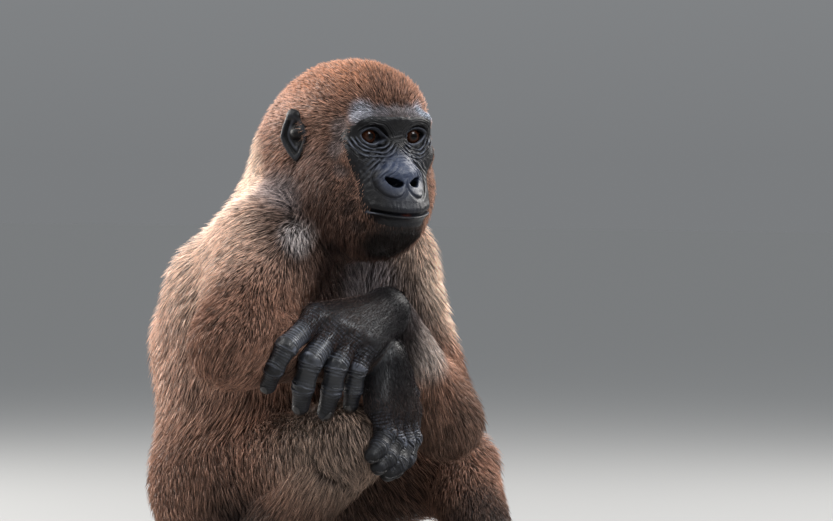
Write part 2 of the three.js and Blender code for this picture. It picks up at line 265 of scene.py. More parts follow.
def body_form(p, k=1.0, inset=lambda name, p: 0):
    """The animal without hands and feet. k is 1 for its skin and 0 for its outline."""
    head = (head_skin(p) if k else skull(p)) + inset("face", p)
    d = join(trunk_form(p, k), neck_form(p, k), 35)
    d = join(d, head, 40)
    for s in "rl":
        lower = limb_form("forearm", p, s, k) + inset("hand_" + s, p)
        arm = join(limb_form("upper_arm", p, s, k), lower, 16)
        lower = limb_form("shin", p, s, k) + inset("foot_" + s, p)
        leg = join(limb_form("thigh", p, s, k), lower, 18)
        d = join(d, arm, near_joint(p, SHOULDER[s], 44, 120))
        d = join(d, leg, near_joint(p, HIP[s], 40, 140))
    return d


# ---------------- hands and feet
def digit_form(p, line, radii):
    d = cone(p, line[0], line[1], radii[0], radii[1])
    for i in range(1, len(line) - 1):
        d = join(d, cone(p, line[i], line[i + 1], radii[i], radii[i + 1]), 5)
    return d


def fingers_of(p, s):
    """The forms of one hand's fingers."""
    return [digit_form(p, FINGERS[s][name], radii) for name, radii in FINGER_RADII.items()]


def palm_form(p, s):
    d = None
    wrist = V(*WRIST[s])
    for name in FINGER_RADII:
        knuckle = V(*FINGERS[s][name][0])
        start, radii = (0.3, (15, 13)) if name == "thumb" else (0.12, (18, 14.5))
        e = cone(p, wrist + (knuckle - wrist) * start, knuckle, *radii)
        d = e if d is None else join(d, e, 14)
    return d


def hand_form(p, s):
    palm = join(palm_form(p, s), limb_form("forearm", p, s), 12)
    d = palm
    for finger in fingers_of(p, s):
        d = join(d, join(palm, finger, 8), 1.2)
    return d


def foot_place(s):
    away = unit(V(*TOES_POINT[s]))
    beside = V(away[1], -away[0], 0) * (-1 if s == "r" else 1)
    heel = V(ANKLE[s][0], ANKLE[s][1], 0)
    return lambda along, side, up: heel + away * along + beside * side + V(0, 0, up)


def toes_of(s):
    """Each toe's line of places and its radii."""
    F = foot_place(s)
    for side, start, length, r in TOES.values():
        middle = F(start + length * 0.55, side * 1.15, 15)
        yield [F(start, side, 14), middle, F(start + length, side * 1.18, 10.5)], (r, r - 2, r - 4)
    yield [F(40, 20, 17), F(68, 43, 15), F(98, 50, 12)], (16, 13, 10.5)


def foot_form(p, s):
    F = foot_place(s)
    d = cone(p, F(-26, 0, 22.5), F(-4, 0, 27), 24, 24)
    d = join(d, cone(p, ANKLE[s], F(40, 0, 25), 28, 20), 14)
    d = join(d, cone(p, F(0, -3, 22.5), F(82, -16, 14), 24, 15), 14)
    d = join(d, cone(p, F(0, 6, 22.5), F(82, 12, 14.5), 24, 16), 14)
    sole = join(d, limb_form("shin", p, s), 14)
    d = sole
    for line, radii in toes_of(s):
        d = join(d, join(sole, digit_form(p, line, radii), 7), 1.2)
    return np.maximum(d, 0.6 - p[:, 2])


# ---------------- the bare face
LID_EGG = ((-EYE_IN, 26, -0.5), (13.3, 15.4, 13.0))


def lid_gap(q):
    """Distance from the rim of the eye's opening, seen from its front."""
    x, y = q[:, 1] - 26.6, q[:, 2] + 0.8
    c, s = math.cos(math.radians(11)), math.sin(math.radians(11))
    x, y = x * c + y * s, y * c - x * s
    return np.maximum(np.hypot(x, y + 7.1) - 14.3, np.hypot(x, y - 8.3) - 14.9), y


def nose_form(q):
    bridge = cone(q * V(1, 0.6, 1), (-3, 0, 2), (15, 0, -36), 7, 11)
    tip = egg(q, (21, 0, -40), (9, 13, 9))
    out = unit(V(0.86, 0.5, -0.1))
    across = unit(np.cross(V(0, 0, 1), out))
    r = q - V(18.5, 13.0, -47)
    x, y, z = (r @ across) / 12.4, (r @ np.cross(out, across)) / 10.6, r @ out
    ring = np.hypot((np.hypot(x, y) - 1) * 11.4, z) - 5.9
    septum = cone(q, (25, 0, -42), (23, 0, -56), 4, 5)
    return join(join(join(bridge, tip, 9), ring, 5), septum, 4)


def nostril_form(q):
    """A comma-shaped hole that sweeps up and outwards."""
    along = unit(V(-0.42, 0.82, 0.36))
    out = unit(np.cross(along, V(0, -0.4, 1)))
    r = q - V(23, 11.4, -48.2)
    x, y, z = r @ out, r @ along, r @ np.cross(out, along)
    z = z - 0.018 * y * y + 0.4
    size = 4.8 - 1.6 * rise(y, -3, 8)
    return egg(np.stack([x, y, z * 4.8 / size], 1), (0, 0, 0), (21, 10.6, 4.9))


def folds_at(q):
    """Past the eye's rim and above its middle, across and up the face, and the folds' sway."""
    a = mirrored(q)
    return *lid_gap(a), a[:, 1], a[:, 2], 1.4 * drift(q, 11, 3) + 0.6 * drift(q, 5, 4)


def fold_patches(q):
    """Some stretches of a fold are deeper than others."""
    return np.clip(0.8 + 0.55 * drift(q, 10, 61), 0.2, 1.2)


def beside_nose(gap, l, u):
    """Where folds run down beside the nose, and how far a point is across them."""
    return bump(l - 20, 12) * bump(u + 31, 13) * rise(gap, 2, 8), (l + u * 0.95) * 0.72


def mouth_line(q, l, u):
    """Height over the line between the lips, and where the lips are."""
    return u + 81.6 - 5.0 * (l / 38) ** 2, rise(40 - l, 0, 5) * rise(q[:, 0], 2, 12)


# The folds below each eye: how far past its rim, how wide and how deep.
EYE_FOLDS = [(3.6, 0.9, 1.1), (7.9, 0.95, 1.25), (12.2, 0.95, 1.15), (16.6, 1.0, 0.9)]


def face_relief(q):
    """Folds round the eyes, over the nose and at the mouth. Positive is carved in."""
    gap, y, l, u, sway = folds_at(q)
    below = rise(-y, -1, 6) * rise(q[:, 0], -40, -20) * fold_patches(q)
    d = np.zeros(len(q), np.float32)
    for at, width, deep in EYE_FOLDS:
        fold = bump(gap + sway - at, width) - 0.7 * bump(gap + sway - at + 2.1, 1.1)
        d += deep * fold * below * rise(-u, -2, 6)
    d += 1.5 * bump(gap - 4.4, 1.1) * rise(y, 0, 5)
    d -= 0.5 * bump(gap - 2.4, 1.0) * rise(y, 0, 5)
    d += 0.6 * bump(gap - 8.4, 1.2) * rise(y, 1, 6)
    beside, slant = beside_nose(gap, l, u)
    slant = slant + 0.7 * sway
    d += 1.0 * beside * ripples(slant, 4.4) ** 2
    on_nose = bump(l, 15) * bump(u + 24, 14) * rise(q[:, 0], 2, 10)
    d += 0.5 * on_nose * ripples(u + 0.12 * l * drift(q, 9, 5) + 0.5 * sway, 3.4)
    d += 0.35 * bump(l, 9) * bump(u - 4, 12) * ripples(u + sway, 4.6)
    d += 0.5 * bump(l - 36, 12) * bump(u + 34, 20) * ripples(slant + 1.5 * sway, 5.2)
    d += 0.35 * drift(q, 4, 6) * drift(q, 9, 8)
    crease = size_of(np.stack([(l - 15) / 16, (u + 46) / 18.5], 1)) - 1
    d += 2.0 * bump(crease * 17, 1.5) * rise(q[:, 0], 0, 8) * rise(np.hypot(l, u + 28), 14, 24)
    # Fine upright lines over the lips.
    d += 0.22 * bump(u + 74, 12) * ripples(l + 1.2 * drift(q, 7, 12), 4.6) * rise(q[:, 0], 8, 18)
    # The mouth: a slit with a rolled lower lip and a fuller upper one.
    line, lips = mouth_line(q, l, u)
    d += 4.5 * bump(line, 1.25) * rise(39 - l, 0, 7) * rise(q[:, 0], 2, 12)
    d += lips * (1.8 * bump(line + 8.5, 3.4) - 2.0 * bump(line + 3.2, 1.7) - 1.3 * bump(line - 5.5, 4.5))
    d += 1.0 * bump(np.hypot(l - 39.5, u + 75.5), 3.5)
    return d


def face_skin(p):
    """The body's skin with the features of the face."""
    q = in_head(p)
    a = mirrored(q)
    d = join(body_form(p), cone(a, (1, 37, 16.5), (7, 0, 20), 7.5, 8.5), 10)
    d = carve(d, egg(a, (5, EYE_OUT, -2), (10, 14.5, 10.5)), 7)
    d = join(d, cone(a, (-8, 41, 12), (-11, 42, -18), 8, 8.5), 12)
    d = join(d, egg(a, (-14, 37, -22), (16, 17, 14)), 14)
    d = join(d, nose_form(a), 6)
    d = join(d, egg(q, (8, 0, -97), (23, 27, 15)), 12)
    d = join(d, egg(a, *LID_EGG), 3.5)
    d = carve(d, nostril_form(a), 1.5) + face_relief(q)
    gap = lid_gap(a)[0]
    d = join(d, np.hypot(gap - 0.9, egg(a, *LID_EGG)) - 1.2, 1.2)
    floor = egg(a, (-EYE_IN, 24.6, -1), (9.2, 15.2, 9.6))
    d = carve(d, most(gap, -floor, -18 - a[:, 0]), 0.6)
    return np.maximum(d, EYE_RADIUS + EYE_CLEARANCE - size_of(a - V(-EYE_IN, EYE_OUT, 0)))


# ---------------- the ears
EAR_OUT = unit(V(0.57, 0.82, 0))
EAR_BACK = unit(V(-0.82, 0.57, -0.12))
EAR_UP = np.cross(EAR_OUT, EAR_BACK) * -1
EAR_AT = V(-67, 79.5, -2)


def in_ear(q):
    """Places back, out and up within one ear, and how far they are past its rim and ridge."""

    def past(b, z, wide, high):
        return (np.abs(b / wide) ** 1.35 + np.abs(z / high) ** 1.35) ** (1 / 1.35) - 1

    e = (q - EAR_AT) @ np.stack([EAR_BACK, EAR_OUT, EAR_UP], 1)
    b, z = e[:, 0], e[:, 2]
    return e, 13 * past(b, z, 13.4, 23.5), 8 * past(b + 2, z + 1, 8, 15)


def ear_form(q):
    """One ear: a shell with a rolled rim, an inner ridge, a bowl, a lobe and a stalk."""
    e, past_rim, past_ridge = in_ear(q)
    b, o = e[:, 0], e[:, 1]
    plate = np.hypot(np.maximum(past_rim + 1, 0), np.maximum(np.abs(o + 1.6) - 1.3, 0)) - 1.6
    d = join(plate, np.hypot(past_rim, o - 1.8) - 2.2, 1.5)
    d = join(d, np.maximum(np.hypot(past_ridge, o - 1.9) - 1.5, -4 - b), 1.2)
    d = join(d, egg(e, (-11, 1.5, -5), (3.2, 3.6, 6.5)), 2)
    d = join(d, egg(e, (-2, 2, -22), (7.5, 4.5, 6)), 4)
    d = carve(d, egg(e, (-2.5, 5, -2), (6.5, 6.5, 12.5)), 2)
    return join(d, cone(e, (-3, -16, -3), (-3, 0, -3), 9, 7), 4)


# ---------------- meshing
BLOCK = 6  # sampling steps along a block
MOST_SAMPLES = 400000  # taken at once
FAR = 9.0  # the value of places away from a surface, in steps


def sloping(form, p, step=0.4):
    """Distance and outward direction of a form at each point."""
    d = form(p)
    slope = np.stack([form(p + step * axis) - d for axis in np.eye(3, dtype=np.float32)], 1)
    return d, slope / step


def cells_of(counts):
    """The whole-number places of a grid's cells."""
    return np.stack(np.meshgrid(*[np.arange(n) for n in counts], indexing="ij"), -1).reshape(-1, 3)


def form_mesh(form, low, high, step):
    """Places and faces of a form's surface, sampled only in blocks that it crosses."""
    low, high = V(*low), V(*high)
    counts = np.ceil((high - low) / (step * BLOCK)).astype(int)
    blocks = cells_of(counts)
    d = form((low + (blocks + 0.5) * BLOCK * step).astype(np.float32))
    grid = np.where(d < 0, -FAR, FAR).reshape(counts).astype(np.float32)
    for axis in range(3):
        grid = np.repeat(grid, BLOCK, axis)
    crossed = blocks[np.abs(d) < step * BLOCK * 1.25 + 2]
    cells = (crossed[:, None] * BLOCK + cells_of((BLOCK,) * 3)[None]).reshape(-1, 3)
    for part in np.array_split(cells, max(1, len(cells) // MOST_SAMPLES)):
        grid[tuple(part.T)] = form((low + part * step).astype(np.float32)) / step
    volume = openvdb.FloatGrid(FAR)
    volume.copyFromArray(grid)
    points, quads = volume.convertToQuads(0.0)
    points = (low + points * step).astype(np.float32)
    for _ in range(2):
        d, slope = sloping(form, points, step * 0.3)
        reach = np.clip(d / np.maximum(size_of(slope) ** 2, 0.3), -step, step)
        points = points - slope * reach[:, None]
    return points, quads.astype(np.int64)


def new_object(name, points, faces, smooth=True):
    """A mesh object from places in millimetres and faces of equal size."""
    mesh = bpy.data.meshes.new(name)
    mesh.vertices.add(len(points))
    mesh.vertices.foreach_set("co", (np.asarray(points, np.float32) * MM).ravel())
    mesh.loops.add(faces.size)
    mesh.loops.foreach_set("vertex_index", faces.ravel().astype(np.int32))
    mesh.polygons.add(len(faces))
    starts = np.arange(0, faces.size, faces.shape[1], dtype=np.int32)
    mesh.polygons.foreach_set("loop_start", starts)
    mesh.update(calc_edges=True)
    mesh.validate()
    if smooth:
        mesh.shade_smooth()
    made = bpy.data.objects.new(name, mesh)
    bpy.context.scene.collection.objects.link(made)
    return made


def read(things, title, wide=1, kind=np.int32):
    """A value of every vertex, triangle or face of a mesh."""
    values = np.zeros(len(things) * wide, kind)
    things.foreach_get(title, values)
    return values.reshape(-1, wide) if wide > 1 else values


def mark(mesh, **values):
    """Values on a mesh's vertices, which the finishes read by name."""
    for title, each in values.items():
        mesh.attributes.new(title, "FLOAT", "POINT").data.foreach_set("value", each)


# ---------------- the skin
ZONE_FADE = 5.0  # how far a fine part and the body cross at their joint plane
ZONE_INSET = 1.3  # how far one lies inside the other there
FACE_INSET = 24  # how far the body lies inside the face
FACE_FROM = -24  # where the fine face begins, behind the point between the eyes
ANKLE_TOP = 8  # how far above the ankle the fine foot begins
FOLD_SPACING = 3.7  # from one fold across a finger to the next
FINE_SPACING = 2.7  # from one fine crease between them to the next

# How finely each part of the skin is sampled.
FINENESS = {"body": 5, "face": 0.9, "ear": 1.0, "hand_l": 1.05, "hand_r": 1.5, "foot": 2.0, "nail": 0.7}


def joint_planes():
    """Where each finely made part of the skin begins: a place and the way out from the body."""
    planes = {"face": (H(FACE_FROM, 0, 0), HEAD_AXES[:, 0])}
    for s in "rl":
        wrist = V(*WRIST[s])
        knuckles = (V(*FINGERS[s]["middle"][0]) + V(*FINGERS[s]["ring"][0])) / 2
        into = unit(wrist - V(*ELBOW[s]))
        planes["hand_" + s] = (wrist - into * 4, unit(into + unit(knuckles - wrist)))
        down = unit(V(*TOES_POINT[s])) * 0.3 - V(0, 0, 0.95)
        planes["foot_" + s] = (V(*ANKLE[s]) + V(0, 0, ANKLE_TOP), unit(down))
    return planes


PLANES = joint_planes()


def beyond(name, p):
    place, out = PLANES[name]
    return (p - place) @ out


def sunk(name, p):
    """Where a fine part covers the body, the body lies inside it, deepest behind the face."""
    out = beyond(name, p)
    deep = FACE_INSET * rise(out, 0, 14) if name == "face" else 0
    return ZONE_INSET * rise(out, -ZONE_FADE, ZONE_FADE) + deep


def emerging(name, form):
    """A fine part that comes out of the body's skin at its joint plane."""

    def covered(p):
        out = beyond(name, p)
        d = form(p) + ZONE_INSET * rise(-out, -ZONE_FADE, ZONE_FADE)
        return np.maximum(d, -ZONE_FADE - 3 - out)

    return covered


def reach_of(places, margin):
    places = np.array(places, np.float32)
    return places.min(0) - margin, places.max(0) + margin


def skin_parts():
    """The name, places and faces of each closed part of the skin."""
    box = (-245, -290, -4), (235, 130, 565)
    yield "body", *form_mesh(lambda p: body_form(p, 1, sunk), *box, FINENESS["body"])
    face = emerging("face", face_skin)
    box = (-34, -74, -128), (46, 74, 66)
    points, faces = form_mesh(lambda q: face(from_head(q)), *box, FINENESS["face"])
    yield "face", from_head(points), faces
    points, faces = form_mesh(ear_form, (-104, 50, -40), (-40, 108, 42), FINENESS["ear"])
    yield "ear_l", from_head(points), faces
    yield "ear_r", from_head(points * V(1, -1, 1)), faces[:, ::-1]
    for s in "lr":
        low, high = reach_of([WRIST[s], *sum(FINGERS[s].values(), [])], 34)
        form = emerging("hand_" + s, lambda p: hand_form(p, s))
        points, faces = form_mesh(form, low, high, FINENESS["hand_" + s])
        yield "hand_" + s, wrinkled_hand(points, s), faces
    for s in "rl":
        low, high = reach_of([ANKLE[s], *(place for line, _ in toes_of(s) for place in line)], 40)
        low[2] = -4
        form = emerging("foot_" + s, lambda p: foot_form(p, s))
        yield "foot_" + s, *form_mesh(form, low, high, FINENESS["foot"])


def along_fingers(p, s):
    """For each finger, how far along it and how far inside its root's width each point lies.

    With them go the distances along the finger to its middle and end joints.
    """
    for name, radii in FINGER_RADII.items():
        nearest = np.full(len(p), 1e9, np.float32)
        along = np.zeros(len(p), np.float32)
        joints = [0.0]
        for a, b in zip(FINGERS[s][name][:-1], FINGERS[s][name][1:]):
            a, b = V(*a), V(*b)
            length = float(np.linalg.norm(b - a))
            t = np.clip(((p - a) @ (b - a)) / length**2, 0, 1)
            away = size_of(p - a - t[:, None] * (b - a))
            along = np.where(away < nearest, joints[-1] + t * length, along)
            nearest = np.minimum(away, nearest)
            joints.append(joints[-1] + length)
        yield along, radii[0] - nearest, joints[1], joints[2]


def crease_sway(p):
    return 0.9 * drift(p, 11, 21) + 0.6 * drift(p, 5, 22)


def crease_patches(p):
    """Some creases of a finger are deeper than others."""
    return np.clip(0.75 + 0.6 * drift(p, 7, 23), 0.1, 1.2)


def wrinkled_hand(points, s):
    """Creases across the fingers, deepest over their joints, and the knuckles' folds."""
    slope = sloping(lambda p: hand_form(p, s), points)[1]
    depth = np.zeros(len(points), np.float32)
    sway, patchy = crease_sway(points), crease_patches(points)
    for along, inside, middle, end in along_fingers(points, s):
        fold = most(0.3 * bump(along - 2, 9), bump(along - middle + 1, 9))
        fold = most(fold, 0.7 * bump(along - end, 6), 0.1)
        lines = 1.1 * fold * patchy * ripples(along + sway, FOLD_SPACING) ** 2
        for joint, deep in ((middle - 3.5, 1.0), (middle + 5.5, 1.2), (end, 1.1)):
            lines = np.maximum(lines, deep * bump(along + sway - joint, 1.1))
        lines -= bump(along - middle, 8) + 0.6 * bump(along - end, 8)
        free = 1 - rise(np.abs(depth), 0.05, 0.3)
        depth += rise(inside + 4, 0, 3) * free * lines * rise(along, 1, 7)
    return points - unit(slope) * depth[:, None]


def nails(s):
    """The nails of one side: thin curved plates on the tips of the digits."""
    digits = [(line, radii, V(0, 0, 1)) for line, radii in toes_of(s)]
    for name in reversed(FINGER_RADII):
        line = [V(*place) for place in FINGERS[s][name]]
        digits.insert(0, (line, FINGER_RADII[name], (line[2] - line[1]) * 0.9 - (line[3] - line[2])))
    places, faces, count = [], [], 0
    for line, radii, lift in digits:
        onward = unit(line[-1] - line[-2])
        up = unit(lift - onward * (lift @ onward))
        r = radii[-1]
        middle = line[-1] + onward * r * 0.25 + up * r * 0.6

        def plate(p):
            on = p - middle
            shell = np.abs(digit_form(p, line, radii) - 0.35) - 0.45
            edge = np.hypot(on @ np.cross(up, onward) / 0.68, on @ onward - r * 0.1) - r * 0.82
            return most(shell, edge, -(on @ up) - r * 0.45)

        points, quads = form_mesh(plate, *reach_of([middle], r * 1.3), FINENESS["nail"])
        places.append(points)
        faces.append(quads + count)
        count += len(points)
    return new_object("nails_" + s, np.concatenate(places), np.concatenate(faces))


def finger_creases(p, s):
    """How many creases along its finger each point lies, how deep they are, and painted highlights on
    the ridges.
    """
    run, deep, ridge = np.zeros((3, len(p)), np.float32)
    sway = 0.8 * drift(p, 8, 41) + 0.3 * drift(p, 3, 42)
    broad, patchy = crease_sway(p), crease_patches(p)
    for along, inside, middle, end in along_fingers(p, s):
        here = rise(inside + 5, 0, 3)
        onto = rise(along, -8, 4)
        fold = most(0.7 * bump(along - 5, 10), bump(along - middle + 1, 10), 0.6 * bump(along - end, 6))
        fold = most(fold, 0.6 * onto * rise(middle - along, 0, 8), 0.12) * here
        knuckle = 0.95 * onto * rise(middle + 8 - along, 0, 8) * (0.45 + 0.55 * patchy)
        top = most(knuckle, 0.35 * bump(along - end, 6), fold * patchy) * here
        # ridge: a painted highlight along the crests between the creases, strongest over the knuckles.
        ridge = np.where(fold > deep, top * (1 - ripples(along + broad, FOLD_SPACING)) ** 2, ridge)
        run = np.where(fold > deep, (along + sway) / FINE_SPACING, run)
        deep = np.maximum(deep, fold)
    return run, deep, ridge


def face_ridge_highlights(q):
    """Where the folds of the face stand out, from 0 to 1: painted highlights on their crests, on the
    lower lid's rim and along the lower lip.
    """
    gap, y, l, u, sway = folds_at(q)
    under = rise(-y, 0, 7) * rise(-u, -2, 6) * rise(20 - gap, 0, 6) * rise(gap, 2, 4)
    under = under * fold_patches(q) ** 1.5 * (1 - ripples(gap + sway - 1.5, 4.3)) ** 3
    beside, slant = beside_nose(gap, l, u)
    beside = beside * (1 - ripples(slant + 0.7 * sway, 4.4)) ** 2
    rim = bump(gap - 0.9, 0.9) * rise(-y, -2, 2)
    lid = 0.6 * bump(gap - 2.4, 1.0) * rise(y, 0, 5)
    line, lips = mouth_line(q, l, u)
    return most(under, beside, rim, lid, 0.8 * bump(line + 2.9, 1.1) * lips)


def face_creases(p):
    """Fine creases under the eyes, beside the nose, across it and over the eyes."""
    q = in_head(p)
    gap, y, l, u, _ = folds_at(q)
    sway = 0.6 * drift(q, 9, 43) + 0.25 * drift(q, 4, 44)
    run, deep = np.zeros((2, len(p)), np.float32)
    for fold, place, spacing in (
        (bump(gap - 11, 9) * rise(-y, 0, 6) * rise(-u, -2, 6), gap, 2.2),
        (0.9 * bump(l - 20, 11) * bump(u + 30, 13) * rise(gap, 3, 9), beside_nose(gap, l, u)[1], 2.1),
        (0.5 * bump(l, 12) * bump(u + 20, 13), u, 1.9),
        (0.5 * bump(gap - 8, 5) * rise(y, 2, 6), gap, 2.4),
    ):
        run = np.where(fold > deep, (place + sway) / spacing, run)
        deep = np.maximum(deep, fold)
    return run, deep, face_ridge_highlights(q)


def ear_ridge_highlights(p):
    """Painted highlights along the inner ridge and the rim of the ears."""
    e, past_rim, past_ridge = in_ear(mirrored(in_head(p)))
    ridge = bump(past_ridge, 1.3) * rise(e[:, 0], -5, -2) * rise(e[:, 1], 1.5, 2.5)
    rim = 0.4 * bump(past_rim, 1.5) * rise(e[:, 1], 2.5, 3.5)
    return 0 * rim, 0 * rim, np.maximum(ridge, rim)


def add_creases(skin):
    """Values on the skin: the count of fine creases along it, their depth, and painted highlights on the
    ridges.
    """
    p = read(skin.data.vertices, "co", 3, np.float32) / MM
    q = in_head(p)
    marks = np.zeros((3, len(p)), np.float32)
    zones = [((size_of(q) < 90) & (beyond("face", p) > 4), face_creases)]
    zones.append((size_of(mirrored(q) - EAR_AT) < 34, ear_ridge_highlights))
    for s in "rl":
        near = size_of(p - V(*FINGERS[s]["ring"][1])) < 130
        zones.append((near & (beyond("hand_" + s, p) > 4), lambda p, s=s: finger_creases(p, s)))
    for zone, creases in zones:
        here = np.flatnonzero(zone)
        more = np.stack(creases(p[here]))
        stronger = more[1:].max(0) > marks[1:, here].max(0)
        marks[:, here[stronger]] = more[:, stronger]
    # ridge carries the painted highlights along the crests of the folds.
    mark(skin.data, crease_run=marks[0], crease_depth=marks[1], ridge=marks[2])


def united(parts):
    """One closed skin from parts that grow out of each other."""
    made = {name: new_object("skin_" + name, points, faces) for name, points, faces in parts}
    body = made.pop("body")
    for other in made.values():
        cut = body.modifiers.new("unite", "BOOLEAN")
        cut.operation = "UNION"
        cut.solver = "MANIFOLD"
        cut.object = other
    shape = bpy.context.evaluated_depsgraph_get()
    mesh = bpy.data.meshes.new_from_object(body.evaluated_get(shape))
    body.modifiers.clear()
    body.data = mesh
    body.name = "skin"
    for other in made.values():
        bpy.data.objects.remove(other)
    return body


# ---------------- finishes
def feed(tree, made, values):
    """Link or set each of a node's inputs."""
    for key, value in values.items():
        if isinstance(value, bpy.types.NodeSocket):
            tree.links.new(value, made.inputs[key])
        else:
            made.inputs[key].default_value = value
    return made


def node(tree, kind, inputs=None, **settings):
    made = tree.nodes.new("ShaderNode" + kind)
    for key, value in settings.items():
        setattr(made, key, value)
    return feed(tree, made, inputs or {})


def placed(tree, shared, **values):
    """A shared group in a finish, with its inputs."""
    made = node(tree, "Group", node_tree=shared)
    return feed(tree, made, {key.replace("_", " ").title(): value for key, value in values.items()})


def colour(r, g, b):
    """A finish's colour from the 0-255 values of a swatch."""
    parts = [c / 255 / 12.92 if c < 10 else ((c / 255 + 0.055) / 1.055) ** 2.4 for c in (r, g, b)]
    return (*parts, 1)


def group(name, inputs, outputs):
    """An empty shader group with named sockets, the outlets of its input and its output node."""
    tree = bpy.data.node_groups.new(name, "ShaderNodeTree")
    for title, value in inputs.items():
        kind = "NodeSocketFloat" if isinstance(value, float) else "NodeSocketColor"
        socket = tree.interface.new_socket(title, in_out="INPUT", socket_type=kind)
        socket.default_value = value
    for title, kind in outputs.items():
        tree.interface.new_socket(title, in_out="OUTPUT", socket_type="NodeSocket" + kind)
    return tree, tree.nodes.new("NodeGroupInput").outputs, tree.nodes.new("NodeGroupOutput")


def object_place(tree):
    return node(tree, "TexCoord").outputs["Object"]


def noise(tree, scale, detail, output="Fac"):
    place = {"Vector": object_place(tree), "Scale": scale, "Detail": detail}
    return node(tree, "TexNoise", place).outputs[output]


def attribute(tree, name):
    return node(tree, "Attribute", attribute_name=name).outputs["Fac"]


def ranged(tree, value, low, high, to_low=0.0, to_high=1.0, **settings):
    """A value between low and high brought to a new range."""
    ends = {"From Min": low, "From Max": high, "To Min": to_low, "To Max": to_high}
    return node(tree, "MapRange", {"Value": value, **ends}, **settings).outputs[0]


def reckoned(tree, operation, *values):
    return node(tree, "Math", dict(enumerate(values)), operation=operation).outputs[0]


def times(tree, a, b):
    return reckoned(tree, "MULTIPLY", a, b)


def blended(tree, amount, a, b, mode="MIX"):
    mixed = node(tree, "Mix", {0: amount, 6: a, 7: b}, data_type="RGBA", blend_type=mode)
    return mixed.outputs[2]


def near_place(tree, place, inner, outer):
    """1 within inner mm of a place, 0 beyond outer mm."""
    centre = tuple(float(c) * MM for c in place)
    ends = {0: object_place(tree), 1: centre}
    away = node(tree, "VectorMath", ends, operation="DISTANCE").outputs["Value"]
    return ranged(tree, away, inner * MM, outer * MM, 1.0, 0.0, interpolation_type="SMOOTHSTEP")


def painted(tree, under, spots):
    """A colour with spots over it, given as in MARKINGS_AND_PAINTED_SHADING."""
    for place, inner, outer, strength, shade in spots:
        amount = times(tree, near_place(tree, place, inner, outer), strength)
        under = blended(tree, amount, under, colour(*shade))
    return under


BLACK_HAIR = (38, 36, 39)

# Place, how far a marking is full and how far it reaches, its strength and its colour. Besides the
# coat's own markings, some entries are painted light or painted shadow, as noted beside them.
MARKINGS_AND_PAINTED_SHADING = [
    # Paler coat over the back, the back of the right shoulder and the neck: partly the coat's own paler
    # hair, partly a painted rim of light from behind.
    ((-40, 60, 300), 90, 210, 0.8, (214, 184, 168)),
    ((-130, -60, 350), 50, 130, 0.85, (222, 196, 180)),
    ((-60, -20, 400), 50, 110, 0.85, (206, 182, 168)),
    ((0, -60, 60), 90, 190, 0.8, (106, 86, 76)),
    (KNEE["r"], 40, 110, 0.75, (156, 142, 130)),
    (SHOULDER["l"], 50, 130, 0.95, (238, 210, 190)),
    (ELBOW["l"], 30, 80, 0.6, (94, 82, 74)),
    (ELBOW["r"], 30, 90, 0.5, (124, 94, 80)),
    ((10, -228, 252), 22, 54, 0.9, (224, 210, 202)),
    ((115, -165, 295), 30, 80, 0.9, (252, 228, 208)),
    (WRIST["l"], 30, 46, 0.9, (42, 40, 43)),
    (WRIST["r"], 35, 70, 0.9, (40, 37, 38)),
    (ANKLE["l"], 30, 90, 0.8, (44, 40, 40)),
    (ANKLE["r"], 30, 90, 0.8, (44, 40, 40)),
    ((0, -170, 290), 50, 110, 0.8, (84, 74, 74)),
    ((10, -165, 320), 16, 46, 0.85, (176, 168, 172)),
    (H(-80, -60, 0), 50, 110, 0.5, (120, 96, 86)),
    (H(-60, -60, -100), 40, 90, 0.8, (84, 66, 60)),
    (H(-50, -66, -40), 16, 44, 0.6, (138, 116, 108)),
    (H(-80, 0, 90), 60, 115, 0.95, (142, 98, 74)),
    (H(-45, -64, 40), 10, 36, 0.4, (92, 64, 50)),
    (H(-8, 0, 44), 16, 42, 0.75, (116, 83, 67)),
    ((75, -115, 402), 22, 52, 0.8, (160, 152, 154)),
    ((-75, -115, 402), 22, 52, 0.85, (156, 148, 150)),
    # Paler nape: partly the coat's own paler hair, partly a painted rim of light from behind.
    ((-70, -50, 436), 24, 54, 0.8, (212, 192, 176)),
    (H(4, -40, 26), 11, 22, 0.95, (172, 176, 188)),
    (H(6, 38, 27), 8, 19, 1.0, (166, 176, 192)),
    (H(12, -19, 28), 7, 16, 0.9, (124, 124, 132)),
    (H(12, 19, 28), 7, 16, 0.9, (130, 130, 138)),
    (H(14, 0, 28), 7, 16, 0.9, (118, 114, 118)),
    # Painted shadow: the coat behind the left hand's fingers, darkened where the hand shades it.
    ((-140, -180, 212), 26, 60, 0.75, (70, 56, 50)),
    (H(8, 0, -112), 26, 52, 0.97, (22, 20, 20)),
    # Painted shadow along the crease between the jaw's hair and the right shoulder.
    ((-62, -138, 398), 5, 22, 0.7, (64, 56, 54)),
    ((-68, -160, 384), 5, 24, 0.75, (56, 48, 46)),
    ((-70, -168, 362), 5, 26, 0.75, (50, 44, 42)),
    ((-112, -158, 368), 5, 30, 0.8, (222, 216, 216)),
]
for side in (-1, 1):
    for f, l, u in ((-18, 51, 8), (-20, 53, -14), (-18, 47, -36)):
        MARKINGS_AND_PAINTED_SHADING.append((H(f, l * side, u), 7, 17, 0.6, (150, 144, 146)))
    for f, l, u in ((-12, 43, -56), (-8, 42, -74), (-6, 36, -92)):
        MARKINGS_AND_PAINTED_SHADING.append((H(f, l * side, u), 6, 16, 0.75, (66, 58, 56)))


def body_colour_group():
    """The animal's colours by place, its coat pattern with some painted light and painted shadow, which
    its skin and coat share.
    """
    tree, _, out = group("coat_markings_and_painted_shading", {}, {"Colour": "Color"})
    uneven = ranged(tree, noise(tree, 22.0, 3.0), 0.35, 0.65)
    mark = blended(tree, uneven, colour(158, 120, 102), colour(186, 146, 126))
    feed(tree, out, {"Colour": painted(tree, mark, MARKINGS_AND_PAINTED_SHADING)})
    return tree


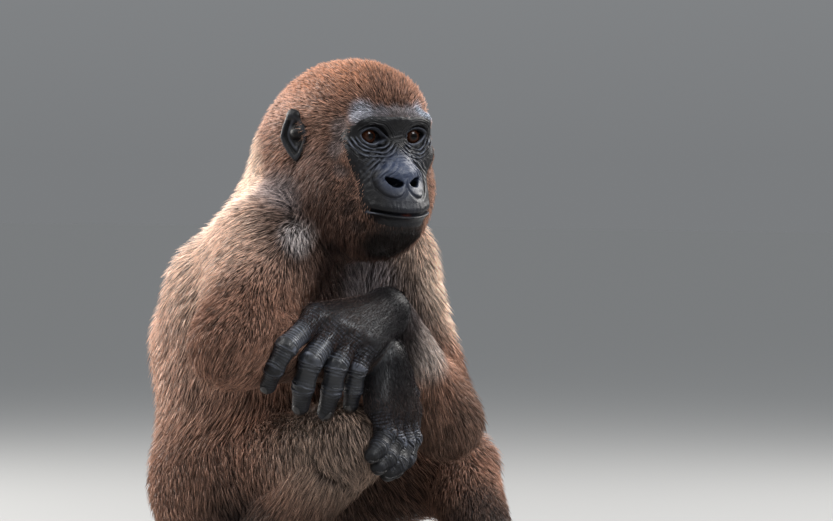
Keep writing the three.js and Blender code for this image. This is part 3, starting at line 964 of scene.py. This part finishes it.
def skin_relief_group():
    """Fine creases and pores of bare skin, as a height."""
    sockets = {"Crease Size": 1100.0, "Pores": 0.3, "Crease Run": 0.0, "Crease Depth": 0.0}
    tree, given, out = group("skin_relief", sockets, {"Height": "Float"})
    sway = {0: noise(tree, 260.0, 3.0, "Color"), 1: (0.0016,) * 3, 2: object_place(tree)}
    moved = node(tree, "VectorMath", sway, operation="MULTIPLY_ADD").outputs[0]
    cells = {"Vector": moved, "Scale": given["Crease Size"]}
    cells = node(tree, "TexVoronoi", cells, feature="SMOOTH_F1").outputs["Distance"]
    folds = {"Vector": moved, "Scale": 420.0, "Detail": 2.0, "Roughness": 0.6}
    folds = node(tree, "TexNoise", folds, noise_type="RIDGED_MULTIFRACTAL").outputs["Fac"]
    grain = times(tree, noise(tree, 2200.0, 2.0), given["Pores"])
    height = reckoned(tree, "ADD", times(tree, cells, -0.5), grain)
    height = reckoned(tree, "ADD", times(tree, folds, 0.3), height)
    wave = reckoned(tree, "COSINE", times(tree, given["Crease Run"], ROUND))
    wave = times(tree, ranged(tree, wave, -1.0, 0.6), given["Crease Depth"])
    height = reckoned(tree, "ADD", times(tree, wave, 1.5), height)
    feed(tree, out, {"Height": height})
    return tree


def material(name, **values):
    """A finish with its shader's values, named like the shader's inputs."""
    made = bpy.data.materials.new(name)
    made.use_nodes = True
    tree = made.node_tree
    tree.nodes.clear()
    shader = node(tree, "BsdfPrincipled")
    for key, value in values.items():
        shader.inputs[key.replace("_", " ").title().replace("Ior", "IOR")].default_value = value
    node(tree, "OutputMaterial", {"Surface": shader.outputs["BSDF"]})
    return made, tree, shader


def raised(tree, relief, distance, strength, **values):
    """The way the skin faces over its fine relief."""
    height = placed(tree, relief, **values).outputs["Height"]
    inputs = {"Height": height, "Distance": distance, "Strength": strength}
    return node(tree, "Bump", inputs).outputs["Normal"]


def bare_skin_material(relief):
    """Near-black skin with a cool sheen, reddish inside the lips. The sheen is partly a real coat and
    partly painted: a pale bluish nose, paler upper lip and fingers and pale fold crests as painted
    highlights, and near-black nostrils as painted shade.
    """
    made, tree, shader = material("bare black skin", coat_roughness=0.32, specular_ior_level=0.3)
    cloud = noise(tree, 60.0, 5.0)
    skin = blended(tree, cloud, colour(10, 9, 10), colour(21, 20, 23))
    # The nose is painted pale bluish grey: a painted reflection of the sky, besides the real coat sheen
    # given there.
    nose = near_place(tree, H(24, 0, -40), 15, 33)
    skin = blended(tree, times(tree, nose, 0.85), skin, colour(56, 66, 90))
    sheen = times(tree, nose, 0.22)
    # The fingers are painted a little paler and bluer than the face: a painted sheen, besides the real
    # coat sheen given there.
    for place in ((-140, -205, 252), (-100, -222, 252)):
        fingers = near_place(tree, place, 36, 66)
        skin = blended(tree, times(tree, fingers, 0.8), skin, colour(27, 28, 32))
        sheen = reckoned(tree, "MAXIMUM", sheen, times(tree, fingers, 0.6))
    # The upper lip is painted a little paler and bluer: a painted sheen.
    skin = painted(tree, skin, [(H(28, 0, -67), 10, 30, 0.6, (44, 46, 54))])
    # The crests of the folds are painted paler and bluer: a painted highlight, which the attribute ridge
    # carries.
    ridge = times(tree, attribute(tree, "ridge"), 0.95)
    skin = blended(tree, ridge, skin, colour(98, 102, 114))
    spots = [(H(33, -2, -81.5), 2, 8, 0.75, (104, 50, 38))]
    for side in (-1, 1):
        # Inside the nostrils the skin is painted near black: painted shade in the holes.
        spots.append((H(20, side * 12.5, -47.5), 5, 9, 1.0, (8, 7, 7)))
        spots.append((H(-67, side * 79.5, -2), 30, 45, 0.7, (12, 11, 12)))
    marks = {name: attribute(tree, name) for name in ("crease_run", "crease_depth")}
    look = {
        "Base Color": painted(tree, skin, spots),
        "Roughness": ranged(tree, cloud, 0.0, 1.0, 0.28, 0.48),
        "Coat Weight": sheen,
        "Normal": raised(tree, relief, 0.0005, 1.0, crease_size=1100.0, pores=0.3, **marks),
    }
    feed(tree, shader, look)
    return made


def nail_material():
    """Dark horn, mottled paler."""
    made, tree, shader = material("dark horn", roughness=0.28, coat_weight=0.3)
    horn = blended(tree, noise(tree, 180.0, 3.0), colour(20, 18, 18), colour(40, 36, 35))
    feed(tree, shader, {"Base Color": horn})
    return made


def under_coat_material(markings_and_painted_shading, relief):
    """The skin beneath the coat, with the coat's colours by place much darkened."""
    made, tree, shader = material("skin under the coat", roughness=0.85)
    mark = placed(tree, markings_and_painted_shading).outputs["Colour"]
    dark = blended(tree, 1.0, mark, (0.30, 0.28, 0.27, 1.0), "MULTIPLY")
    facing = raised(tree, relief, 0.0006, 0.6, crease_size=500.0, pores=0.6)
    feed(tree, shader, {"Base Color": dark, "Normal": facing})
    return made


# The iris from its middle out: the share of 10 mm and the colour there.
IRIS = [
    (0.0, (2, 2, 2)),
    (0.30, (3, 2, 2)),
    (0.37, (40, 20, 10)),
    (0.62, (62, 32, 16)),
    (0.84, (44, 23, 12)),
    (0.91, (16, 9, 6)),
    (0.95, (46, 29, 20)),
    (1.0, (84, 60, 48)),
]


def eye_material():
    """A brown iris with a dark rim round a black pupil, and a dark brown white of the eye."""
    made, tree, shader = material(
        "brown eye",
        roughness=0.4,
        specular_ior_level=0.0,
        coat_weight=0.85,
        coat_ior=1.38,
        coat_roughness=0.03,
    )
    split = node(tree, "SeparateXYZ", {"Vector": object_place(tree)}).outputs
    flat = node(tree, "CombineXYZ", {"X": split["X"], "Y": split["Y"]}).outputs[0]
    out = node(tree, "VectorMath", {0: flat}, operation="LENGTH").outputs["Value"]
    rays = node(tree, "VectorMath", {0: flat}, operation="NORMALIZE").outputs[0]
    fibres = {"Vector": rays, "Scale": 9.0, "Detail": 6.0}
    fibres = node(tree, "TexNoise", fibres).outputs["Fac"]
    ramp = node(tree, "ValToRGB", {"Fac": ranged(tree, out, 0.0, 0.01)})
    stops = ramp.color_ramp.elements
    stops.remove(stops[1])
    stops[0].color = colour(*IRIS[0][1])
    for at, shade in IRIS[1:]:
        stops.new(at).color = colour(*shade)
    shades = ranged(tree, fibres, 0.3, 0.7, 0.6, 1.3)
    mottled = blended(tree, 1.0, ramp.outputs["Color"], shades, "MULTIPLY")
    feed(tree, shader, {"Base Color": mottled})
    return made


def coat_material(name, markings_and_painted_shading, hair, gold=0.5, black=0.0, gloss=0.35):
    """Hair with dark roots and light tips over the animal's colours by place; the dark roots are partly
    painted shade deep in the coat.
    """
    made, tree, shader = material(name, specular_ior_level=gloss)
    mark = placed(tree, markings_and_painted_shading).outputs["Colour"]
    mark = blended(tree, black, mark, colour(*BLACK_HAIR))
    marks = {name: attribute(tree, name) for name in ("along", "shade")}
    strand = placed(tree, hair, colour=mark, gold=gold, **marks).outputs
    feed(tree, shader, {"Base Color": strand["Colour"], "Roughness": strand["Roughness"]})
    return made


def hair_group():
    """A strand's colour from root to tip, and from strand to strand, with painted shade towards the root
    and on tufts deep in the coat.
    """
    sockets = {"Colour": (0.1, 0.07, 0.05, 1), "Along": 0.5, "Shade": 0.5, "Gold": 0.5}
    tree, given, out = group("strand", sockets, {"Colour": "Color", "Roughness": "Float"})
    colour_in, along, shade = given["Colour"], given["Along"], given["Shade"]
    # Darker towards the root: partly the hair's own darker roots, partly painted shade deep in the coat.
    run = ranged(tree, along, 0.0, 1.0, 0.2, 1.35)
    vary = ranged(tree, shade, 0.0, 1.0, 0.15, 1.85)
    base = blended(tree, 1.0, colour_in, times(tree, run, vary), "MULTIPLY")
    late = ranged(tree, along, 0.4, 1.0)
    picked = ranged(tree, shade, 0.5, 0.9)
    gilt = times(tree, times(tree, late, picked), given["Gold"])
    bright = blended(tree, 1.0, colour_in, (2.6, 2.3, 2.0, 1.0), "MULTIPLY")
    rough = ranged(tree, shade, 0.0, 1.0, 0.45, 0.65)
    feed(tree, out, {"Colour": blended(tree, gilt, base, bright), "Roughness": rough})
    return tree


# ---------------- eyes
def eyeball(s, look):
    """An eyeball with a bulging cornea, turned to look straight ahead."""
    side = -1 if s == "r" else 1
    around, rings = 48, 36
    leans = np.linspace(0, math.pi, rings + 1)
    turns = np.linspace(0, ROUND, around, endpoint=False)
    radius = EYE_RADIUS - EYE_CLEARANCE + CORNEA_RISE * rise(-leans, -0.72, -0.45)
    x = (radius * np.sin(leans))[:, None] * np.cos(turns)
    y = (radius * np.sin(leans))[:, None] * np.sin(turns)
    z = (radius * np.cos(leans))[:, None] + 0 * x
    points = np.stack([x, y, z], -1).reshape(-1, 3)
    i, j = np.meshgrid(np.arange(rings), np.arange(around), indexing="ij")
    k = (j + 1) % around
    faces = np.stack([i * around + j, (i + 1) * around + j, (i + 1) * around + k, i * around + k], -1)
    eye = new_object("eyeball_" + s, points, faces.reshape(-1, 4))
    weld = eye.modifiers.new("weld", "WELD")
    weld.merge_threshold = 0.00001
    inward = turned("Z", -side * GAZE_INWARD)
    gaze = HEAD_AXES @ inward @ np.array([[0, 0, 1], [1, 0, 0], [0, 1, 0]], np.float32)
    centre = Vector(H(-EYE_IN, side * EYE_OUT, 0)) * MM
    eye.matrix_world = Matrix.Translation(centre) @ Matrix(gaze.tolist()).to_4x4()
    eye.data.materials.append(look)
    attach(eye, "root")
    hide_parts("eye_" + s)


# ---------------- studio
CAMERA_AZIMUTH = math.radians(-50)
CAMERA_HEIGHT = math.radians(5)
CAMERA_AWAY = 5.2
LENS = 204.8
SENSOR_WIDTH = 36
RIGHT = Vector((math.cos(CAMERA_AZIMUTH), math.sin(CAMERA_AZIMUTH), 0))
LEFT = RIGHT * -1
UP = Vector((0, 0, 1))
LEVEL = math.cos(CAMERA_HEIGHT)
BACK = Vector(
    (math.sin(CAMERA_AZIMUTH) * LEVEL, -math.cos(CAMERA_AZIMUTH) * LEVEL, math.sin(CAMERA_HEIGHT))
)
AIM = RIGHT * 0.182 + BACK.cross(RIGHT) * 0.3405
LIT_PLACE = Vector((0, -0.1, 0.35))  # where the lights point
FLOOR_SPREAD = 20000  # from the middle to each side, in millimetres

# Each light's place, size, power and colour.
LIGHTS = {
    "key": (LEFT * 1.3 + BACK * 0.7 + UP * 2.0, 1.2, 26, (1.0, 0.99, 0.97)),
    "left_rim": (LEFT * 1.9 - BACK * 1.1 + UP * 1.25, 1.2, 98, (1.0, 0.97, 0.93)),
    "right_rim": (RIGHT * 1.7 - BACK * 0.9 + UP * 1.6, 1.2, 50, (1.0, 0.97, 0.94)),
    "front": (RIGHT * 1.65 + BACK * 1.5 + UP * 1.5, 0.8, 30, (0.96, 0.98, 1.0)),
}


def set_up(name, data, place, aim):
    """A camera or light at a place, turned towards another."""
    made = bpy.data.objects.new(name, data)
    made.location = place
    made.rotation_euler = (place - aim).to_track_quat("Z", "Y").to_euler()
    bpy.context.scene.collection.objects.link(made)
    return made


def studio():
    """Camera, floor, sky and soft lights."""
    scene = bpy.context.scene
    scene.view_settings.view_transform = "Standard"
    lens = bpy.data.cameras.new("camera")
    lens.lens = LENS
    lens.sensor_width = SENSOR_WIDTH
    scene.camera = set_up("camera", lens, BACK * CAMERA_AWAY, AIM)
    corners = np.array([(-1, -1, 0), (1, -1, 0), (1, 1, 0), (-1, 1, 0)]) * FLOOR_SPREAD
    floor = new_object("floor", corners, np.array([[0, 1, 2, 3]]), smooth=False)
    paint = material("pale floor", base_color=(0.28, 0.28, 0.278, 1), roughness=0.9)[0]
    floor.data.materials.append(paint)
    world = bpy.data.worlds.new("studio")
    scene.world = world
    world.use_nodes = True
    tree = world.node_tree
    way = node(tree, "TexCoord").outputs["Generated"]
    up = node(tree, "SeparateXYZ", {"Vector": way}).outputs["Z"]
    sky = {"Color": (0.93, 0.965, 1.0, 1), "Strength": ranged(tree, up, 0.0, 1.0, 0.21, 0.85)}
    feed(tree, tree.nodes["Background"], sky)
    for name, (place, size, power, tint) in LIGHTS.items():
        lamp = bpy.data.lights.new(name, "AREA")
        lamp.size = size
        lamp.energy = power
        lamp.color = tint
        set_up(name, lamp, place, LIT_PLACE).visible_camera = False


# ---------------- the coat
FACE_MIDDLE = H(16, 0, 6)
DOWN = V(0, 0, -1)


def away_from(p, place):
    return unit(p - place)


def from_whorl(p, s):
    """Away from a whorl, fading within 30 mm of its middle so that the hair covers it."""
    place = V(*WHORL[s])
    return away_from(p, place) * rise(size_of(p - place), 4, 34)[:, None]


def along_limb(a, b):
    return unit(V(*b) - V(*a))


# Each lie gives the way the hair of one part runs at each point, on side s of the animal.
def head_lie(p, s):
    """Hair runs away from the middle of the face: over the crown, and down the cheeks."""
    low = rise(-in_head(p)[:, 2], -30, 50)[:, None]
    return away_from(p, FACE_MIDDLE) + DOWN * 1.4 * low


def trunk_lie(p, s):
    """Hair runs down from the shoulders and round the body."""
    lie = DOWN * 0.9
    for side, place in WHORL.items():
        near = 1.1 * bump(size_of(p - V(*place)), 170)
        lie = lie + from_whorl(p, side) * near[:, None]
    return lie


def upper_arm_lie(p, s):
    return from_whorl(p, s) * 0.9 + along_limb(SHOULDER[s], ELBOW[s]) * 0.5 + DOWN * 0.35


def forearm_lie(p, s):
    hang = 0.9 if s == "r" else 0.5
    return along_limb(WRIST[s], ELBOW[s]) * 0.6 + DOWN * hang


def thigh_lie(p, s):
    return along_limb(HIP[s], KNEE[s]) * 0.5 + DOWN


def shin_lie(p, s):
    above = away_from(p, V(*KNEE[s]) + V(0, 0, 30))
    return above * 0.7 + along_limb(KNEE[s], ANKLE[s]) * 0.6 + DOWN * 0.3


def hand_lie(p, s):
    return along_limb(WRIST[s], FINGERS[s]["ring"][1]) + 0.2 * DOWN


def foot_lie(p, s):
    return along_limb(ANKLE[s], foot_place(s)(110, 0, 15))


def past_joint(name, form):
    """A hand's or foot's form, which ends at its joint plane."""
    return lambda p: np.where(beyond(name, p) > 0, form(p, name[-1]) - 0.1, 900)


# The limbs' parts: the lie of the hair, the length and width of a tuft and how many there are.
HAIRY_LIMBS = {
    "upper_arm": (upper_arm_lie, 22, 0.66, {"r": 24000, "l": 14000}),
    "forearm": (forearm_lie, 24, 0.62, {"r": 11000, "l": 12500}),
    "thigh": (thigh_lie, 24, 0.62, {"r": 16500, "l": 9500}),
    "shin": (shin_lie, 22, 0.62, {"r": 8000, "l": 7500}),
    "hand": (hand_lie, 7, 0.46, {"r": 6000, "l": 8000}),
    "foot": (foot_lie, 8, 0.5, {"r": 2500, "l": 2500}),
}


def limb_part(limb, s):
    """A limb's skin, and the ends of the middle line round which its coat is unwrapped."""
    if limb in LIMBS:
        return lambda p: limb_form(limb, p, s), LIMBS[limb][0][s], LIMBS[limb][1][s]
    if limb == "hand":
        return past_joint("hand_" + s, hand_form), WRIST[s], FINGERS[s]["ring"][1]
    F = foot_place(s)
    return past_joint("foot_" + s, foot_form), F(-40, 0, 20), F(150, 0, 15)


# Each part's lie, length, width and count of tufts, its skin and the ends of its middle line.
PARTS = {
    "head": (head_lie, 15, 0.56, 65000, head_skin, H(-90, 0, -120), H(-90, 0, 90)),
    "neck": (trunk_lie, 19, 0.62, 12000, neck_form, (0, -62, 362), (-12, -104, 424)),
    "trunk": (trunk_lie, 24, 0.74, 48000, trunk_form, (0, 0, 0), (0, -40, 380)),
}
for side in "rl":
    for limb, (*hair, tufts) in HAIRY_LIMBS.items():
        PARTS[limb + "_" + side] = (*hair, tufts[side], *limb_part(limb, side))
PIECE_TUFTS = 33000  # the most in one piece
FIRST_SEED = 100  # of the random draws for the first part's coat
LOCK_SIZE = 11  # tufts lean together in locks, and in wisps within them
WISP_SIZE = 4
LEAST_HEIGHT = 0.8  # of hair above the floor
STRAY_SHARE = 0.16  # of the tufts, which stand out from the coat
DEEPEST_TIP = 0.55  # the share of the coat's depth that may lie over a tip
ROOT_DEPTH = 0.6  # how far a tuft starts inside the skin


def of_hand_or_foot(part):
    return part[:4] in ("hand", "foot")


def skin_samples(skin):
    """The skin's triangles: corners, corner normals, middles and areas, in millimetres."""
    mesh = skin.data
    mesh.calc_loop_triangles()
    corners = read(mesh.loop_triangles, "vertices", 3)
    places = read(mesh.vertices, "co", 3, np.float32)[corners] / MM
    normals = read(mesh.vertex_normals, "vector", 3, np.float32)[corners]
    across = np.cross(places[:, 1] - places[:, 0], places[:, 2] - places[:, 0])
    return places, normals, places.mean(1), np.linalg.norm(across, axis=1) / 2


def growth(p, part):
    """How thickly hair grows at each point of the skin, 0 where it is bare."""
    q = in_head(p)
    s = part[-1]
    on_head = rise(-size_of(q - V(-75, 0, -10)), -190, -160)
    thick = (1 - bareness(q) * on_head) * rise(ear_form(mirrored(q)), 1.0, 3.0)
    thick *= rise(p[:, 2], 1, 10)
    if part.startswith("hand"):
        back = 14 if s == "r" else 17
        thick *= rise(np.min(fingers_of(p, s), 0) - palm_form(p, s), -back, 3 - back / 2)
    if part.startswith("foot"):
        ahead = (p - foot_place(s)(0, 0, 0)) @ unit(V(*TOES_POINT[s]))
        thick *= rise(-ahead, -95, -60) * rise(p[:, 2], 18, 30)
    return thick


def plant(part, samples, mine, count, dice):
    """Places and outward directions of the roots of a part's tufts, on its own triangles."""
    places, normals, middles, areas = samples
    total = np.cumsum(areas[mine] * growth(middles[mine], part))
    spots = (np.arange(count) + dice.random(count)) / count * total[-1]
    chosen = mine[np.searchsorted(total, spots)]
    a, b = dice.random((2, count, 1)).astype(np.float32)
    a, b = np.where(a + b > 1, 1 - a, a), np.where(a + b > 1, 1 - b, b)

    def at_root(corner):
        return corner[:, 0] * (1 - a - b) + corner[:, 1] * a + corner[:, 2] * b

    return at_root(places[chosen]), unit(at_root(normals[chosen]))


def unwrapped(p, a, b):
    """Each point's place on an unwrap of a part's skin, rolled off its middle line."""
    a, b = V(*a), V(*b)
    axis = unit(b - a)
    side = unit(np.cross(axis, V(0.3, 0.9, 0.1)))
    front = np.cross(axis, side)
    r = p - a
    turn = np.arctan2(r @ side, r @ front) / ROUND + 0.5
    along = r @ axis
    order = np.argsort(np.argsort(along)) / len(along)
    along = order * 0.4 + (along - along.min()) / np.ptp(along) * 0.6
    return np.stack([0.01 + 0.975 * turn, 0.01 + 0.975 * along], 1)


def settle(places, least, form):
    """Lift places that lie too deep until they are at least some height above a form."""
    for _ in range(2):
        d = form(places)
        low = np.flatnonzero(d < least)
        if not len(low):
            break
        d, slope = sloping(form, places[low], 0.6)
        lift = (least[low] - d) / np.maximum(size_of(slope), 0.5)
        places[low] += unit(slope) * np.clip(lift, 0, 14)[:, None]
    return places


def whole_skin(p):
    """The skin with ears and hands, which no hair passes through."""
    forms = [body_form(p), ear_form(mirrored(in_head(p)))]
    for s in "rl":
        forms += [palm_form(p, s), *fingers_of(p, s)]
    return np.min(forms, 0)


def bundled(p, size, dice):
    """Which bundle about size mm across each root belongs to."""
    cells = np.floor(p / size + dice.random(3)).astype(np.int64)
    return np.unique(cells @ np.array([1, 4096, 4096**2]), return_inverse=True)[1]


def gathered(values, bundle):
    """The mean of some values over each bundle, given back to every member."""
    number = np.bincount(bundle)
    means = [np.bincount(bundle, values[:, i]) / number for i in range(values.shape[1])]
    return np.stack(means, 1)[bundle]


def outlined(places, depth, farthest=7.0):
    """Bring places to a given depth under the animal's outline."""
    d, slope = sloping(lambda p: body_form(p, 0), places, 0.8)
    shift = np.clip(-depth - d, -farthest, farthest) / np.maximum(size_of(slope), 0.6)
    return places + unit(slope) * shift[:, None]


def strands(part, root, out, dice):
    """The middle and tip of each tuft, how wide it is and how light; tufts lying deeper in the coat are
    painted darker as painted shade.
    """
    lie, length, width, count = PARTS[part][:4]
    q = in_head(root)
    flow = lie(root, part[-1]) + 0.2 * np.stack([drift(root, 30, 31 + i) for i in range(3)], 1)
    lock = bundled(root, LOCK_SIZE, dice)
    wisp = bundled(root, WISP_SIZE, dice)
    flow += 0.05 * dice.normal(size=(lock.max() + 1, 3))[lock]
    flow += 0.07 * dice.normal(size=(wisp.max() + 1, 3))[wisp]
    flow += 0.12 * dice.normal(size=(count, 3))
    flow = unit(flow - out * np.einsum("ij,ij->i", flow, out)[:, None])
    local = np.ones(count)
    if part == "head":
        near_mask = rise(mask_edge(q), 0, 34) + rise(-q[:, 0], 20, 60)
        local = 0.33 + 0.67 * np.clip(near_mask, 0, 1)
        local *= 1 + 0.6 * rise(-q[:, 2], 60, 110)
        local *= 1 - 0.25 * rise(q[:, 2], 20, 60)
        local *= 0.3 + 0.7 * rise(ear_form(mirrored(q)), 1, 10)
    local *= 1 + 0.12 * drift(root, 18, 7)
    reach = length * local * np.clip(dice.normal(1, 0.15, count), 0.55, 1.4)
    buried = dice.random(count) ** 1.7 * DEEPEST_TIP
    stray = dice.random(count) < STRAY_SHARE
    buried = np.where(stray, -0.45 * dice.random(count), buried)
    long_haired = not of_hand_or_foot(part)
    depth = np.clip(-body_form(root, 0), 1.3, 13) if long_haired else np.full(count, 1.6)
    height = np.minimum(depth * (1 - buried), 0.8 * reach)
    follow = rise(-q[:, 0], 12, 34)[:, None] if part == "head" else 1.0
    ends = []
    for onward, upward in ((0.46, 0.64), (0.94, 1)):
        end = root + flow * (onward * reach)[:, None] + out * (upward * height)[:, None]
        end = end.astype(np.float32)
        if long_haired:
            end += (outlined(end, depth - upward * height) - end) * follow
        ends.append(end)
    middle, tip = ends
    tip += (gathered(tip, wisp) - tip) * 0.15
    middle = settle(middle, 0.3 * np.minimum(depth, 6), whole_skin)
    tip = settle(tip, 0.4 * np.minimum(depth, 6), whole_skin)
    for places in (middle, tip):
        places[:, 2] = np.maximum(places[:, 2], LEAST_HEIGHT + 0.5 * dice.random(count))
    half = width / 2 * np.clip(dice.normal(1, 0.2, count), 0.6, 1.6) * (0.6 + 0.4 * local)
    # Tufts that lie deeper in the coat are painted darker and stray tufts lighter: painted shade of the
    # coat's depth, over a random tone.
    shade = 0.27 * dice.normal(size=count) - 0.45 * (buried - 0.2)
    shade += 0.1 * dice.normal(size=wisp.max() + 1)[wisp]
    shade += 0.04 * dice.normal(size=lock.max() + 1)[lock]
    return middle, tip, half, np.clip(0.5 + shade, 0, 1)


# A tuft's faces, how far along it each of its five points is, and its patch of the unwrap.
STRAND = np.array([[0, 2, 1], [0, 3, 2], [0, 1, 3], [4, 1, 2], [4, 2, 3], [4, 3, 1]])
STRAND_ALONG = V(0, 0.5, 0.5, 0.5, 1.0)
STRAND_PATCH = np.array([[0, 0], [-0.5, 0.45], [0.5, 0.45], [0, 0.6], [0, 1.0]]) * 0.003


def coat(part, samples, mine, look, slot, dice):
    """One part's hair, as closed tufts that taper at both ends, in pieces of limited size."""
    count, _, *middle_line = PARTS[part][3:]
    root, out = plant(part, samples, mine, count, dice)
    middle, tip, half, shade = strands(part, root, out, dice)
    root = root - out * ROOT_DEPTH
    onward = unit(tip - root)
    side = unit(np.cross(out, onward))
    up = unit(np.cross(onward, side))
    turn = dice.random(count) * ROUND / 3
    ring = []
    for third in range(3):
        angle = (turn + third * ROUND / 3)[:, None]
        ring.append(middle + (side * np.cos(angle) + up * np.sin(angle)) * half[:, None])
    points = np.stack([root, *ring, tip], 1)
    uv = unwrapped(root, *middle_line)
    layers = math.ceil(count / PIECE_TUFTS)
    for layer in range(layers):
        pick = np.arange(layer, count, layers)
        name = "coat_" + part + ("" if layers == 1 else "_%d" % (layer + 1))
        n = len(pick)
        faces = (STRAND[None] + 5 * np.arange(n)[:, None, None]).reshape(-1, 3)
        piece = new_object(name, points[pick].reshape(-1, 3), faces)
        tones = np.repeat(shade[pick], 5).astype(np.float32)
        mark(piece.data, along=np.tile(STRAND_ALONG, n), shade=tones)
        spread = (uv[pick][:, None] + STRAND_PATCH[None]).reshape(-1, 2)
        bake = piece.data.uv_layers.new(name="OFBake")
        bake.data.foreach_set("uv", spread[faces.ravel()].astype(np.float32).ravel())
        piece.data.materials.append(look)
        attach(piece, "root")


# ---------------- making
markings_and_painted_shading = body_colour_group()
relief = skin_relief_group()
hair = hair_group()
studio()
skin = united(skin_parts())
add_creases(skin)
samples = skin_samples(skin)
middles = samples[2]
owners = np.stack([form(middles) for *_, form, _, _ in PARTS.values()]).argmin(0)
thick = growth(middles, "head")
for index, part in enumerate(PARTS):
    if of_hand_or_foot(part):
        thick[owners == index] = 0
skin.data.materials.clear()
skin.data.materials.append(bare_skin_material(relief))
skin.data.materials.append(under_coat_material(markings_and_painted_shading, relief))
haired = np.zeros(len(skin.data.polygons), np.int32)
haired[read(skin.data.loop_triangles, "polygon_index")] = thick > 0.5
skin.data.polygons.foreach_set("material_index", haired)
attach(skin, "root")
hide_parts(*[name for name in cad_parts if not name.startswith("eye")])
horn = nail_material()
for side in "rl":
    nail = nails(side)
    nail.data.materials.append(horn)
    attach(nail, "root")
look = eye_material()
for side in "rl":
    eyeball(side, look)
furs = {
    "coat": coat_material("brown coat", markings_and_painted_shading, hair),
    "crown_coat": coat_material("chestnut head hair", markings_and_painted_shading, hair),
    "dark_coat": coat_material("black hair", markings_and_painted_shading, hair, gold=0.25, black=0.9, gloss=0.12),
}
for index, part in enumerate(PARTS):
    slot = "crown_coat" if part == "head" else "dark_coat" if of_hand_or_foot(part) else "coat"
    dice = np.random.default_rng(FIRST_SEED + index)
    coat(part, samples, np.flatnonzero(owners == index), furs[slot], slot, dice)
